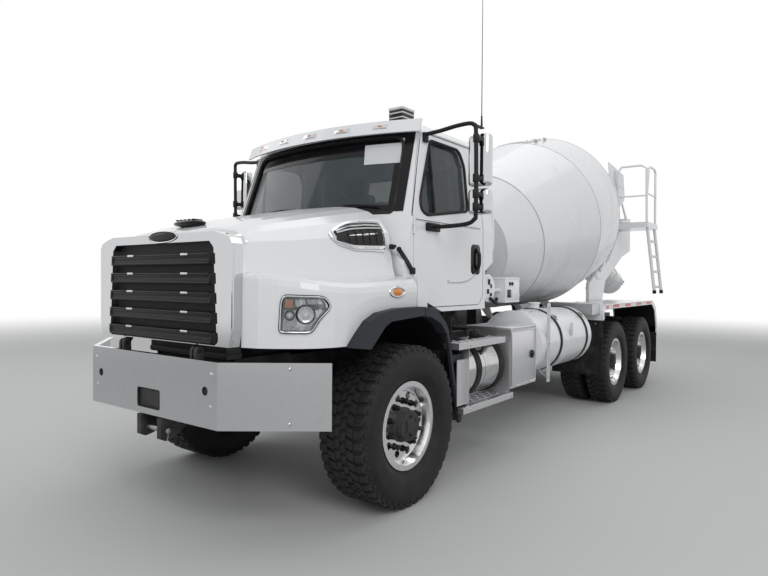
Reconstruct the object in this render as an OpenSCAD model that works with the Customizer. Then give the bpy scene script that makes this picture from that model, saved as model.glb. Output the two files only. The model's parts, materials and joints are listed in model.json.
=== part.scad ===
// Concrete mixer truck: three-axle conventional chassis with an inclined rear-discharge drum.
// X is across (the driver's side is +X), Y runs from the bumper (-Y) to the chute (+Y), Z is up.
// The ground is Z = 0. Places in the modules are measured from the front axle's centre line.

/* [Axles and tyres] */
// Front axle to the middle of the rear pair
wheelbase = 5365; // [5250:5:5500]
// Distance between the two rear axles
tandem_gap = 1320; // [1290:5:1360]
// Front tyre radius
front_tyre_r = 562; // [545:1:570]
// Front tyre width
front_tyre_w = 425; // [380:1:430]
// Rear tyre radius
rear_tyre_r = 527; // [510:1:535]
// Rear tyre width
rear_tyre_w = 279; // [255:1:290]
// Middle of the front tyre from the truck's centre line
front_tyre_x = 980; // [970:1:1000]
// Middle of the outer rear tyre from the truck's centre line
rear_tyre_x = 1080; // [1070:1:1090]
// Distance between the two tyres of a twin pair
twin_gap = 330; // [320:1:345]
// Radius of the tyres' bead seats on the rims
bead_r = 286; // [284:1:288]
// Hand holes in each wheel disc
hand_holes = 10; // [5:1:10]

/* [Frame] */
// Overall width of the frame rails
frame_w = 864; // [850:1:870]
// Height of the frame's top above the ground
frame_top = 1060; // [1050:1:1075]
// Depth of a frame rail
rail_h = 270; // [255:1:280]
// Width of a rail's flange
rail_w = 89; // [80:1:95]
// Thickness of the rails
rail_t = 10; // [8:1:12]
// Frame from the front axle to its front end
frame_front = 950; // [940:5:960]
// Frame from the front axle to its rear end
frame_rear = 7020; // [7000:5:7050]

/* [Steering] */
// Kingpin from the truck's centre line
kingpin_x = 800; // [795:1:810]
// Radius of the kingpin
kingpin_r = 20; // [18:0.5:24]
// Radius of the wheel spindles
spindle_r = 35; // [32:1:40]
// Tie rod behind the front axle
tie_rod_y = 150; // [140:5:155]
// Radius of the tie rod
tie_rod_r = 20; // [16:1:22]
// Running clearance of a pin in its bore
pin_fit = 0.05; // [0.02:0.01:0.08]

/* [Bumper] */
// Half width of the bumper's flat middle
bumper_flat = 695; // [680:5:710]
// Half width of the whole bumper
bumper_half = 1210; // [1190:5:1220]
// Bumper face ahead of the front axle
bumper_y = 1288; // [1280:1:1296]
// Bumper ends ahead of the front axle
bumper_end_y = 889; // [880:1:910]
// Lower edge of the bumper
bumper_low = 707; // [700:1:715]
// Upper edge of the bumper
bumper_top = 1097; // [1085:1:1100]
// Thickness of the bumper's plate
bumper_t = 8; // [6:1:10]
// Depth of the bumper's folded edges
bumper_lip = 36; // [25:1:40]
// Radius of the tow pin's bore
tow_pin_r = 20; // [16:1:24]

/* [Cab] */
// Half width of the cab below its belt
cab_half = 1005; // [990:5:1010]
// Half width of the cab at the roof's edge
roof_half = 930; // [915:5:945]
// Underside of the cab
cab_floor = 1330; // [1325:5:1345]
// Height of the belt, where the sides start to lean in
belt_z = 2010; // [2000:5:2020]
// Height of the roof's edge
roof_edge_z = 2730; // [2720:5:2740]
// Highest point of the roof
roof_top_z = 2845; // [2835:5:2855]
// Cab's rear wall behind the front axle
cab_rear = 1505; // [1500:5:1515]
// How far the foot of the rear wall is tucked in
cab_tuck = 145; // [140:1:150]
// Thickness of the cab's walls and doors
wall_t = 55; // [45:1:60]
// Bend radius of the windscreen
screen_bend = 2600; // [2500:50:2800]
// Lean of the windscreen from upright
screen_lean = 20; // [19:0.5:21]
// Thickness of the glass
glass_t = 8; // [6:1:10]
// Gap around the doors
door_gap = 6; // [6:0.5:8]
// Gap behind the doors
door_rear_gap = 13; // [12:0.5:16]

/* [Hood] */
// Thickness of the hood's shell
hood_t = 14; // [10:1:18]
// Height of the hood's lower edge
hood_low = 1172; // [1165:1:1180]
// Rear edge of the hood's sides behind the front axle
hood_rear = 66; // [60:1:70]
// Hood's hinge ahead of the front axle
hood_hinge_y = 1215; // [1210:1:1220]
// Height of the hood's hinge
hood_hinge_z = 1135; // [1130:1:1140]
// Bars of the grille
grille_bars = 5; // [4:1:6]

/* [Drum] */
// Slope of the drum's axis
drum_tilt = 14.6; // [14:0.1:15.2]
// Front end of the barrel behind the front axle, on the drum's axis
drum_y = 4292; // [4285:1:4300]
// Height of the drum's axis there
drum_z = 2341; // [2335:1:2350]
// Radius of the barrel
drum_r = 1112; // [1095:1:1120]
// Thickness of the drum's shell
drum_t = 14; // [10:1:18]
// Length of the barrel
barrel_l = 823; // [800:1:850]
// Length of the front cone
front_cone_l = 1172; // [1150:1:1190]
// Radius at the front cone's front seam
front_seam_r = 825; // [810:1:840]
// Length of the rear cone
rear_cone_l = 1430; // [1400:5:1450]
// Radius of the drum's mouth
mouth_r = 545; // [530:1:560]
// Radius of the roller track
track_r = 860; // [850:1:870]

/* [Chute] */
// Chute's swivel post behind the front axle
post_y = 7390; // [7380:5:7400]
// Half width of the chute's trough
chute_half = 240; // [220:5:250]
// Length of the main chute
chute_l = 1150; // [1100:10:1180]
// Length of the folding chute
fold_l = 900; // [850:10:950]
// Slope of the chute as it is carried
chute_slope = 14; // [12:1:16]

/* [Hidden] */
$fn = 48;

// The origin is below the middle of the truck's length
front_axle_y = -3617;
axle_1_y = wheelbase - tandem_gap / 2;
axle_2_y = wheelbase + tandem_gap / 2;
rail_x = frame_w / 2;
rail_bottom = frame_top - rail_h;
hub_front_z = front_tyre_r;
hub_rear_z = rear_tyre_r;
// Axis of the cylinder that the windscreen's face lies on, and how far back its foot is
screen_foot_y = 11;
screen_foot_z = 2038;
// Door outline, [y, z], front lower corner first
door_front = 225;
door_rear = 1325;
door_low = 1365;
door_top = 2722;
pillar_top_y = 430;
door_in = 860;
// Pins of the hood's hinge, and the door hinges' place, pin and barrel
hinge_pin_r = 14;
door_hinge = [cab_half + 13, door_front - 4];
door_hinge_z = [1480, 1960];
door_pin_r = 4;
door_barrel_r = 10;
// Half widths of the front and rear rims
front_rim = 156;
rear_rim = 106;
cab_front = 95;
gearbox_rear = 420;
fender_in = 575;
// Rollers under the drum's track: radius and angle from straight down
track_out = track_r + 30;
roller_r = 120;
roller_angle = 32;
// Chute's post, hinge and trough
post_r = 60;
post_low = 880;
hinge_z = 1550;
hinge_r = 20;
chute_up = 200;
chute_edge = 275;
chute_t = 8;
fold_y = chute_l - chute_up + 32;
fold_z = chute_edge + 5;
fold_pin_r = 12;
// Fuel tank and water tank: centre x and z, radius, front and rear y
fuel = [910, 835, 245, 770, 1440];
water = [868, 945, 330, 2140, 3740];

module place() translate([0, front_axle_y, 0]) children();

module both() {
    children();
    mirror([1, 0, 0]) children();
}

module box(low, high) translate(low) cube(high - low);

// An outline in (y, z), extruded across from x = a to x = b
module side_plate(a, b, pts) translate([a, 0, 0]) rotate([90, 0, 90]) linear_extrude(b - a) polygon(pts);

// An outline in (x, z), extruded along from y = a to y = b
module front_plate(a, b, pts) translate([0, b, 0]) rotate([90, 0, 0]) linear_extrude(b - a) polygon(pts);

// An outline in (x, y), extruded up from z = a to z = b
module plan_plate(a, b, pts) translate([0, 0, a]) linear_extrude(b - a) polygon(pts);

module rod_x(a, b, y, z, r) translate([a, y, z]) rotate([0, 90, 0]) cylinder(r = r, h = b - a);

module rod_y(x, a, b, z, r) translate([x, a, z]) rotate([-90, 0, 0]) cylinder(r = r, h = b - a);

module rod_z(x, y, a, b, r) translate([x, y, a]) cylinder(r = r, h = b - a);

// A round bar from p to q
module bar(p, q, r) {
    d = q - p;
    translate(p) rotate([0, acos(d[2] / norm(d)), atan2(d[1], d[0])]) cylinder(r = r, h = norm(d));
}

// A bent tube through a list of points, with its rings turned about the direction across
module tube(pts, r, across = [1, 0, 0], sides = 12) {
    last = len(pts) - 1;
    function along(i) = pts[min(i + 1, last)] - pts[max(i - 1, 0)];
    loft([for (i = [0 : last])
        let (t = along(i) / norm(along(i)), u = cross(t, across) / norm(cross(t, across)), v = cross(t, u))
        [for (a = [0 : 360 / sides : 359]) pts[i] + r * (cos(a) * u + sin(a) * v)]]);
}

// A closed skin over rings of points with equal counts
module loft(rings, thin = false) {
    n = len(rings[0]);
    m = len(rings);
    function quad(a, b, c, d) = [[a, b, c], [a, c, d]];
    // A thin ring is an outer line and the inner line back, and its end is closed between the two
    cap = thin ? [for (i = [0 : n / 2 - 2]) each quad(i, i + 1, n - 2 - i, n - 1 - i)] : [[for (i = [0 : n - 1]) i]];
    polyhedron(
        points = [for (ring = rings) for (p = ring) p],
        faces = concat(cap,
            [for (k = [0 : m - 2]) for (i = [0 : n - 1])
                let (a = k * n + i, b = a + n, c = (k + 1) * n + (i + 1) % n, d = c - n)
                each thin && i >= n / 2 ? quad(b, c, d, a) : quad(a, b, c, d)],
            [for (f = cap) [for (i = [len(f) - 1 : -1 : 0]) f[i] + (m - 1) * n]])
    );
}

// Chassis

module frame_rails() color("dimgray") place() {
    cross_y = [550, 1500, 2350, 3450, 4250, 5325, 6350];
    cross_w = 90;
    both() front_plate(-frame_front, frame_rear, [
        [rail_x, frame_top], [rail_x - rail_w, frame_top], [rail_x - rail_w, frame_top - rail_t],
        [rail_x - rail_t, frame_top - rail_t], [rail_x - rail_t, rail_bottom + rail_t],
        [rail_x - rail_w, rail_bottom + rail_t], [rail_x - rail_w, rail_bottom], [rail_x, rail_bottom]]);
    for (y = cross_y)
        box([-rail_x + rail_t / 2, y, rail_bottom + 100], [rail_x - rail_t / 2, y + cross_w, frame_top - 60]);
    // Closing members at the two ends
    for (y = [-frame_front + 20, frame_rear - 110])
        box([-rail_x + rail_t / 2, y, rail_bottom], [rail_x - rail_t / 2, y + cross_w, frame_top]);
    // Bumper brackets with the ears of the hood's hinge
    both() box([rail_x - 60, -bumper_y + bumper_t, rail_bottom + 30],
        [rail_x - 1, -frame_front + 50, frame_top - 30]);
    both() for (x = [rail_x - 60, rail_x - 19]) difference() {
        side_plate(x, x + 18, [[-hood_hinge_y - 32, frame_top - 31], [-hood_hinge_y + 32, frame_top - 31],
            [-hood_hinge_y + 26, hood_hinge_z + 12], [-hood_hinge_y + 12, hood_hinge_z + 26],
            [-hood_hinge_y - 12, hood_hinge_z + 26], [-hood_hinge_y - 26, hood_hinge_z + 12]]);
        rod_x(x - 1, x + 19, -hood_hinge_y, hood_hinge_z, hinge_pin_r + pin_fit);
    }
    // Cab mounts
    both() for (y = [270, 1262])
        box([rail_x - 70, y, frame_top - rail_t], [rail_x, y + 80, cab_floor]);
    // Bearing of the chute's post, behind the last member
    difference() {
        box([-120, frame_rear - 30, post_low], [120, post_y + 100, post_low + 180]);
        rod_z(0, post_y, post_low - 1, post_low + 181, post_r + pin_fit);
    }
}

module bumper_band(depth, low, high) {
    sweep = atan2(bumper_y - bumper_end_y, bumper_half - bumper_flat);
    inner = bumper_flat - depth * tan(sweep / 2);
    outer = [[bumper_flat, -bumper_y], [bumper_half, -bumper_end_y]];
    back = [[bumper_half - depth * sin(sweep), -bumper_end_y + depth * cos(sweep)], [inner, depth - bumper_y]];
    plan_plate(low, high, concat(outer, back, [for (p = [back[1], back[0], outer[1], outer[0]]) [-p[0], p[1]]]));
}

module front_bumper() color("gainsboro") place() difference() {
    union() {
        bumper_band(bumper_t, bumper_low, bumper_top);
        bumper_band(bumper_lip, bumper_low, bumper_low + bumper_t);
        bumper_band(bumper_lip, bumper_top - bumper_t, bumper_top);
    }
    box([-125, -bumper_y - 5, 748], [125, -bumper_y + bumper_t + 5, 871]);
    both() rod_y(581, -bumper_y - 5, -bumper_y + bumper_t + 5, 922, 24);
}

module tow_bracket() color("dimgray") place() difference() {
    union() {
        both() side_plate(90, 135, [
            [-850, rail_bottom], [-1225, rail_bottom], [-1225, 695], [-1284, 695], [-1284, 565], [-1250, 548],
            [-1190, 560], [-1000, 690], [-850, 710]]);
        box([-100, -1050, 730], [100, -930, rail_bottom]);
    }
    rod_x(-140, 140, -1238, 612, tow_pin_r);
}

module front_axle() color("dimgray") place() {
    beam = 45;
    boss = [hub_front_z - 80, hub_front_z + 78];
    difference() {
        union() {
            front_plate(-beam, beam, [
                [-kingpin_x, boss[0]], [-690, boss[0]], [-620, 460], [-480, 400], [480, 400], [620, 460],
                [690, boss[0]], [kingpin_x, boss[0]],
                [kingpin_x, boss[1]], [600, 600], [470, 510], [-470, 510], [-600, 600], [-kingpin_x, boss[1]]]);
            both() rod_z(kingpin_x, 0, boss[0], boss[1], 48);
        }
        both() rod_z(kingpin_x, 0, boss[0] - 1, boss[1] + 1, kingpin_r + pin_fit);
        for (s = [-1, 1]) translate([0, s * beam, 0]) box([-460, -28, 425], [460, 28, 485]);
    }
    // Leaf springs with their hangers, standing on the beam
    for (s = [-1, 1]) {
        for (leaf = [0 : 3]) {
            half = 720 - leaf * 140;
            side_plate(s * 393 - 38, s * 393 + 38, [
                [-half, 668 - leaf * 22 + half * half / 9500], [0, 620 - leaf * 22 + 22],
                [half, 668 - leaf * 22 + half * half / 9500], [half, 690 - leaf * 22 + half * half / 9500],
                [0, 664 - leaf * 22], [-half, 690 - leaf * 22 + half * half / 9500]]);
        }
        box([s * 393 - 50, -70, 505], [s * 393 + 50, 70, 600]);
        for (y = [-700, 700]) box([s * 393 - 30, y - 35, 700], [s * 393 + 30, y + 35, rail_bottom]);
    }
}

module knuckle(s) {
    boss = [hub_front_z - 80, hub_front_z + 78];
    ear = 42;
    mirror([s < 0 ? 1 : 0, 0, 0]) {
        rod_z(kingpin_x, 0, boss[0] - ear, boss[1] + ear, kingpin_r);
        box([kingpin_x - 55, -50, boss[1]], [kingpin_x + 92, 50, boss[1] + ear]);
        box([kingpin_x - 55, -50, boss[0] - ear], [kingpin_x + 92, 50, boss[0]]);
        box([kingpin_x + 56, -60, boss[0] - ear], [kingpin_x + 92, 60, boss[1] + ear]);
        rod_x(kingpin_x + 80, kingpin_x + 260, 0, hub_front_z, spindle_r);
        // Steering arm with the tie rod's pin
        side_plate(kingpin_x - 30, kingpin_x + 20, [[40, boss[0] - ear], [40, boss[0]],
            [tie_rod_y + 30, boss[0]], [tie_rod_y + 30, boss[0] - ear]]);
        rod_z(kingpin_x, tie_rod_y, boss[0] - ear - 60, boss[0], 14);
    }
}

module tie_rod() color("dimgray") place() {
    z = hub_front_z - 80 - 42 - 32;
    difference() {
        union() {
            rod_x(-kingpin_x, kingpin_x, tie_rod_y, z, tie_rod_r);
            both() rod_z(kingpin_x, tie_rod_y, z - 27, z + 27, 32);
        }
        both() rod_z(kingpin_x, tie_rod_y, z - 60, z + 60, 14 + pin_fit);
    }
}

// Rear axle housings, their differential bowls and the shafts between them
module drive_axles() color("dimgray") place() {
    for (y = [axle_1_y, axle_2_y]) {
        rod_x(-620, 620, y, hub_rear_z, 72);
        both() rod_x(600, 600 + 265, y, hub_rear_z, 46);
        translate([0, y, hub_rear_z]) sphere(r = 215);
        rod_y(0, y - 330, y, hub_rear_z + 20, 85);
    }
    bar([0, axle_1_y + 190, hub_rear_z + 20], [0, axle_2_y - 320, hub_rear_z + 20], 50);
    bar([0, gearbox_rear + 4.5, 815], [0, axle_1_y - 320, hub_rear_z + 20], 55);
}

module rear_suspension() color("dimgray") place() both() {
    // Walking beam under the two axles, its saddle and the bracket on the rail
    seat = hub_rear_z - 72;
    side_plate(470, 540, [[axle_1_y - 90, 380], [axle_2_y + 90, 380], [axle_2_y + 90, seat], [axle_2_y - 90, seat],
        [wheelbase + 230, 500], [wheelbase + 90, 500], [wheelbase + 90, frame_top - 60],
        [wheelbase - 90, frame_top - 60], [wheelbase - 90, 500], [wheelbase - 230, 500], [axle_1_y + 90, seat],
        [axle_1_y - 90, seat]]);
    box([rail_x, wheelbase - 160, rail_bottom + 10], [471, wheelbase + 160, frame_top - 20]);
}

module engine() color("gray") place() {
    // Engine and gearbox with their side mounts
    box([-300, -700, 860], [300, 60, 1700]);
    box([-220, 59, 770], [220, gearbox_rear, 1240]);
    both() box([299, -420, 900], [rail_x - rail_t, -320, 980]);
    // Radiator on the frame's front end
    box([-430, -1000, frame_top], [430, -900, 1700]);
}

// Wheels

// Section of a rim and disc, [radius, distance outwards from the tyre's middle]
function rim_ring(half) = [
    [bead_r - 14, -half], [bead_r + 22, -half], [bead_r + 22, 12 - half], [bead_r, 18 - half],
    [bead_r - 24, 70 - half], [bead_r - 24, half - 70], [bead_r, half - 18], [bead_r + 22, half - 12],
    [bead_r + 22, half], [bead_r - 14, half], [bead_r - 40, half - 60], [bead_r - 40, 60 - half]];

module turned(pts) rotate([0, 90, 0]) rotate_extrude($fn = 72) polygon(pts);

// Disc from the hub out to the rim, between two faces
module wheel_disc(face, t, hub_r, hub_in, hub_out, bore_r, bore_to) difference() {
    union() {
        translate([face - t, 0, 0]) rotate([0, 90, 0]) cylinder(r = bead_r - 30, h = t);
        translate([hub_in, 0, 0]) rotate([0, 90, 0]) cylinder(r = hub_r, h = hub_out - hub_in);
    }
    for (i = [0 : hand_holes - 1]) rotate([(i + 0.5) * 360 / hand_holes, 0, 0])
        translate([face - t - 1, 0, 203]) rotate([0, 90, 0]) cylinder(r = 27, h = t + 2, $fn = 24);
    translate([hub_in - 1, 0, 0]) rotate([0, 90, 0]) cylinder(r = bore_r, h = bore_to - hub_in + 1);
}

module front_wheel(s) color("silver") place() mirror([s < 0 ? 1 : 0, 0, 0])
    translate([front_tyre_x, 0, hub_front_z]) {
        turned(rim_ring(front_rim));
        wheel_disc(98, 24, 105, kingpin_x + 96 - front_tyre_x, 168, spindle_r + pin_fit,
            kingpin_x + 262 - front_tyre_x);
    }

module rear_wheels(s, y) color("silver") place() mirror([s < 0 ? 1 : 0, 0, 0])
    translate([rear_tyre_x - twin_gap / 2, y, hub_rear_z]) {
        for (m = [0, 1]) mirror([m, 0, 0]) {
            translate([twin_gap / 2, 0, 0]) turned(rim_ring(rear_rim));
            translate([twin_gap / 2 - rear_rim - 37, 0, 0]) turned([
                [100, 0], [185, 0], [bead_r - 30, 62], [bead_r - 30, 90], [175, 24], [100, 24]]);
        }
        difference() {
            translate([-225, 0, 0]) rotate([0, 90, 0]) cylinder(r = 105, h = 375);
            translate([-226, 0, 0]) rotate([0, 90, 0])
                cylinder(r = 46 + pin_fit, h = 226 - (rear_tyre_x - twin_gap / 2) + 600 + 265 + 2);
        }
    }

// Half of a tyre's section as [radius, distance from its middle], from the bead on the rim to the tread
function tyre_half(r, w, rim) = [
    [bead_r + 0.3, rim - 18.4], [bead_r + 22.3, rim - 12.4], [r * 0.70, w / 2 - 4], [r * 0.80, w / 2],
    [r * 0.90, w * 0.485], [r * 0.965, w * 0.43], [r, w * 0.38]];

// Tyre about the x axis, bead to tread tips, for a rim of the given half width
module tyre(r, w, rim) let (half = tyre_half(r, w, rim))
    turned(concat(half, [for (i = [len(half) - 1 : -1 : 0]) [half[i][0], -half[i][1]]]));

module front_tyre(s) color("#202020") place()
    translate([s * front_tyre_x, 0, hub_front_z]) tyre(front_tyre_r, front_tyre_w, front_rim);

module rear_tyres(s, y) color("#202020") place()
    for (x = [rear_tyre_x, rear_tyre_x - twin_gap]) translate([s * x, y, hub_rear_z])
        tyre(rear_tyre_r, rear_tyre_w, rear_rim);

// Cab

// Cylinder that the windscreen's outer face lies on, shrunk by t
module screen_round(t) translate([0, screen_foot_y + screen_bend / cos(screen_lean), screen_foot_z])
    rotate([-screen_lean, 0, 0]) translate([0, 0, -1400]) cylinder(r = screen_bend - t, h = 3000, $fn = 180);

function cab_front_outline(t) = [
    [-cab_half + t, cab_floor + t], [cab_half - t, cab_floor + t], [cab_half - t, belt_z],
    [roof_half - t, roof_edge_z - t * 0.7], [roof_half - 60 - t * 0.8, roof_edge_z + 70 - t],
    [500, roof_top_z - t], [-500, roof_top_z - t], [-roof_half + 60 + t * 0.8, roof_edge_z + 70 - t],
    [-roof_half + t, roof_edge_z - t * 0.7], [-cab_half + t, belt_z]];

function cab_side_outline(t) = [
    [cab_front + t, cab_floor + t], [cab_rear - cab_tuck - t, cab_floor + t], [cab_rear - cab_tuck - t, 1660],
    [cab_rear - t, 1740], [cab_rear - t, 2640], [cab_rear - 60 - t, 2770 - t],
    [cab_rear - 250, roof_top_z - t], [700, roof_top_z - t], [420, 2790 - t], [200, 2790 - t],
    [-60 + t, 1975 + t], [cab_front + t, 1975 + t]];

module cab_form(t) intersection() {
    side_plate(-1100, 1100, cab_side_outline(t));
    front_plate(-200, cab_rear + 10, cab_front_outline(t));
    screen_round(t);
}

// Outline of a door's edge, set in by the gaps
function door_outline(g, rear) = [
    [door_front + g, door_low + g], [door_rear - 70 - rear, door_low + g], [door_rear - rear, door_low + 75 + g],
    [door_rear - rear, 2060], [door_rear - 25 - rear, door_top - g], [pillar_top_y + g, door_top - g],
    [door_front + g, 2060]];

module cab_shell() color("white") place() {
    cab_body();
    // Fender corner between the hood and the door
    both() side_plate(cab_half - 1, 1148, [[hood_rear + 9, arch_out[5][1] - 1.5], [hood_rear + 9, 1592],
        [100, 1588], [164, 1539], [arch_out[6][0], 1498], [arch_out[6][0], arch_out[6][1] + arch_gap]]);
    // Ears and pins of the door hinges
    both() for (z = door_hinge_z) {
        for (e = [z - 40, z + 22])
            box([cab_half - 1, door_hinge[1] - 14, e], [door_hinge[0] + 8, door_hinge[1] + 7, e + 18]);
        rod_z(door_hinge[0], door_hinge[1], z - 40, z + 40, door_pin_r);
    }
}

module cab_body() difference() {
    cab_form(0);
    cab_form(wall_t);
    // Doorways, as deep as the side wall and a little more
    both() difference() {
        side_plate(door_in, 1100, door_outline(0, 0));
        front_plate(0, cab_rear, cab_front_outline(wall_t + door_gap));
    }
    // Windscreen
    front_plate(-100, 600, [[-840, 2075], [840, 2075], [850, 2130], [815, 2640], [760, 2690], [-760, 2690],
        [-815, 2640], [-850, 2130]]);
    // Rear window
    front_plate(cab_rear - 100, cab_rear + 100, [[-500, 2150], [500, 2150], [500, 2600], [-500, 2600]]);
}

module cab_glass() color("lightsteelblue", 0.5) place() {
    intersection() {
        difference() {
            screen_round(20);
            screen_round(20 + glass_t);
        }
        front_plate(-100, 600, [[-840, 2075], [840, 2075], [850, 2130], [815, 2640], [760, 2690], [-760, 2690],
            [-815, 2640], [-850, 2130]]);
    }
    front_plate(cab_rear - 30, cab_rear - 30 + glass_t, [[-500, 2150], [500, 2150], [500, 2600], [-500, 2600]]);
}

module door(s) color("white") place() {
    mirror([s < 0 ? 1 : 0, 0, 0]) intersection() {
        difference() {
            cab_form(0);
            front_plate(0, cab_rear, cab_front_outline(wall_t));
            box([0, 0, cab_floor - 1], [cab_half - wall_t, cab_rear, cab_floor + wall_t + 1]);
            side_plate(-1100, 1100, window_outline());
        }
        side_plate(door_in, 1100, door_outline(door_gap, door_rear_gap));
    }
    mirror([s < 0 ? 1 : 0, 0, 0]) for (z = door_hinge_z) difference() {
        union() {
            rod_z(door_hinge[0], door_hinge[1], z - 21.5, z + 21.5, door_barrel_r);
            plan_plate(z - 21.5, z + 21.5, [[cab_half + 0.5, door_hinge[1] + 1], [cab_half + 0.5, door_front + 6.5],
                [cab_half - 1, door_front + 6.5], [cab_half - 1, door_hinge[1] + 45],
                [cab_half + 6, door_hinge[1] + 45], [cab_half + 6, door_hinge[1] + 1]]);
        }
        rod_z(door_hinge[0], door_hinge[1], z - 30, z + 30, door_pin_r + pin_fit);
    }
}

function window_outline() = [
    [417, 2072], [1045, 2160], [1062, 2200], [1062, 2540], [1010, 2640], [960, 2672], [545, 2672], [338, 2200],
    [331, 2146], [350, 2100]];

module window(s) color("lightsteelblue", 0.5) place() intersection() {
    difference() {
        cab_form(22);
        cab_form(22 + glass_t);
    }
    side_plate(s > 0 ? 500 : -1100, s > 0 ? 1100 : -500, window_outline());
}

module dashboard() color("dimgray") place() {
    intersection() {
        side_plate(-930, 930, [[cab_front + wall_t, 1700], [470, 1800], [480, 1980], [330, 2060],
            [50, 2060], [50, 1975 + wall_t], [cab_front + wall_t, 1975 + wall_t]]);
        screen_round(wall_t + 1);
    }
    bar([480, 420, 1900], [480, 600, 2010], 30);
    translate([480, 600, 2010]) rotate([-62, 0, 0]) {
        rotate_extrude() translate([215, 0]) circle(r = 16, $fn = 16);
        for (a = [90, 210, 330]) rotate([0, 0, a]) translate([0, -14, -10]) cube([215, 28, 20]);
    }
}

module seats() color("dimgray") place() for (x = [-480, 480]) {
    box([x - 180, 775, cab_floor + wall_t], [x + 180, 1175, 1600]);
    box([x - 250, 705, 1600], [x + 250, 1225, 1740]);
    side_plate(x - 245, x + 245, [[1135, 1740], [1265, 1740], [1395, 2420], [1305, 2440]]);
    side_plate(x - 130, x + 130, [[1305, 2440], [1395, 2420], [1415, 2580], [1335, 2600]]);
}

module sun_visor() color("white") place() {
    // Brow along the windscreen's top: a lip and a plate on the roof's front edge
    low = 2705;
    seat = 2790;
    intersection() {
        difference() {
            screen_round(-95);
            screen_round(-79);
        }
        box([-965, -200, low], [965, 700, seat + 16]);
    }
    intersection() {
        screen_round(-94);
        box([-870, -200, seat], [870, 415, seat + 16]);
    }
}

// Beside the frame

module fuel_tank() color("silver") place() {
    rod_y(fuel[0], fuel[3], fuel[4], fuel[1], fuel[2]);
    for (y = [fuel[3] - 18, fuel[4]]) rod_y(fuel[0], y, y + 18, fuel[1], fuel[2] - 30);
    bar([fuel[0] + 60, 1180, fuel[1] + fuel[2] - 30], [fuel[0] + 95, 1180, fuel[1] + fuel[2] + 30], 45);
}

module strap(t, y, w, wide) difference() {
    rod_y(t[0], y, y + w, t[1], t[2] + wide);
    rod_y(t[0], y - 1, y + w + 1, t[1], t[2] + 0.6);
}

module tank_straps() color("#202020") place() {
    for (y = [950, 1362]) {
        strap(fuel, y, 75, 8);
        // Bracket to the rail
        box([rail_x, y, rail_bottom + 20], [fuel[0] - fuel[2] - 4, y + 75, frame_top - 40]);
    }
    for (y = [2700, 3500]) {
        strap(water, y, 50, 8);
        box([rail_x, y, rail_bottom + 20], [water[0] - water[2] - 4, y + 50, frame_top - 40]);
    }
}

module water_tank() color("white") place() {
    rod_y(water[0], water[3] + 60, water[4] - 60, water[1], water[2]);
    for (e = [[0, 1], [1, -1]])
        translate([water[0], e[0] ? water[4] - 60 : water[3] + 60, water[1]])
            rotate([e[1] > 0 ? 90 : -90, 0, 0]) intersection() {
                translate([0, 0, -860]) sphere(r = sqrt(860 * 860 + water[2] * water[2]), $fn = 96);
                cylinder(r = water[2], h = 100);
            }
}

module side_steps() color("silver") place() both() {
    // Upper step beside the tank's top, lower step under it, and the plates that carry both
    box([1075, 545, 1045], [1215, 1345, 1090]);
    box([1080, 1344, 1050], [1110, 1464, 1080]);
    box([990, 725, 540], [1215, 1513, 585]);
    box([1165, 620, 540], [1215, 726, 585]);
    // Panel ahead of the tank
    box([1162, 595, 600], [1170, 735, 960]);
    for (y = [728, 1463]) front_plate(y, y + 6, [
        [rail_x, 830], [rail_x, 1030], [1076, 1090], [1200, 1046], [1200, 584], [995, 584]]);
}

module toolbox() color("silver") place() {
    box([760, 1475, 618], [1205, 2030, 1158]);
    box([rail_x, 1620, 850], [761, 1900, 1000]);
}

// Battery box and air tanks on the far side, hung on the rail
module battery_box() color("silver") place() mirror([1, 0, 0]) {
    box([660, 745, 610], [1065, 1450, 1040]);
    box([rail_x, 800, 850], [661, 1200, 1000]);
    rod_y(640, 2500, 3300, 930, 140);
    box([rail_x, 2850, 900], [520, 2950, 960]);
}

module exhaust_box() color("silver") place() mirror([1, 0, 0]) {
    box([700, 1560, 640], [1190, 2200, 1130]);
    box([rail_x, 1650, 850], [701, 2050, 1000]);
    rod_z(780, 1850, 1129, 1250, 62);
}

module deck() color("silver") place() both() {
    // Panel beside the drum, from behind the water tank to the fenders, on two gussets
    front = water[4] + 20;
    rear = axle_1_y - 645;
    box([600, front, 1290], [1180, rear, 1310]);
    box([1160, front, 1180], [1180, rear, 1291]);
    for (y = [front + 10, rear - 22]) front_plate(y, y + 12, [
        [rail_x, 850], [rail_x, 1030], [610, 1291], [1170, 1291], [1170, 1185], [760, 1185]]);
}

module rear_fenders() color("white") place() both() {
    y0 = axle_1_y - 640;
    y1 = axle_2_y + 700;
    side_plate(fender_in, 1220, [[y0, 1100], [y0, 1215], [y0 + 60, 1290], [y1 - 200, 1290], [y1, 1180],
        [y1 + 110, 900], [y1 + 110, 780], [y1 + 60, 780], [y1 + 60, 880], [y1 - 40, 1130], [y1 - 210, 1235],
        [y0 + 90, 1235], [y0 + 40, 1185], [y0 + 40, 1100]]);
    // Brackets to the rails
    for (y = [y0 + 150, wheelbase - 60, y1 - 300])
        front_plate(y, y + 60, [[rail_x - 60, frame_top], [rail_x, frame_top], [fender_in + 1, 1236],
            [fender_in + 1, 1285], [rail_x + 20, 1285]]);
}

module mud_flaps() color("#202020") place() both() {
    // Behind the front wheel, ahead of the rear pair, and behind it
    front_plate(690, 700, [[620, 480], [1130, 480], [1130, 1040], [1060, 1040], [1060, 1290], [620, 1290]]);
    box([fender_in, axle_1_y - 640, 420], [1215, axle_1_y - 630, 1100]);
    box([fender_in, axle_2_y + 790, 310], [1215, axle_2_y + 800, 780]);
}

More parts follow.
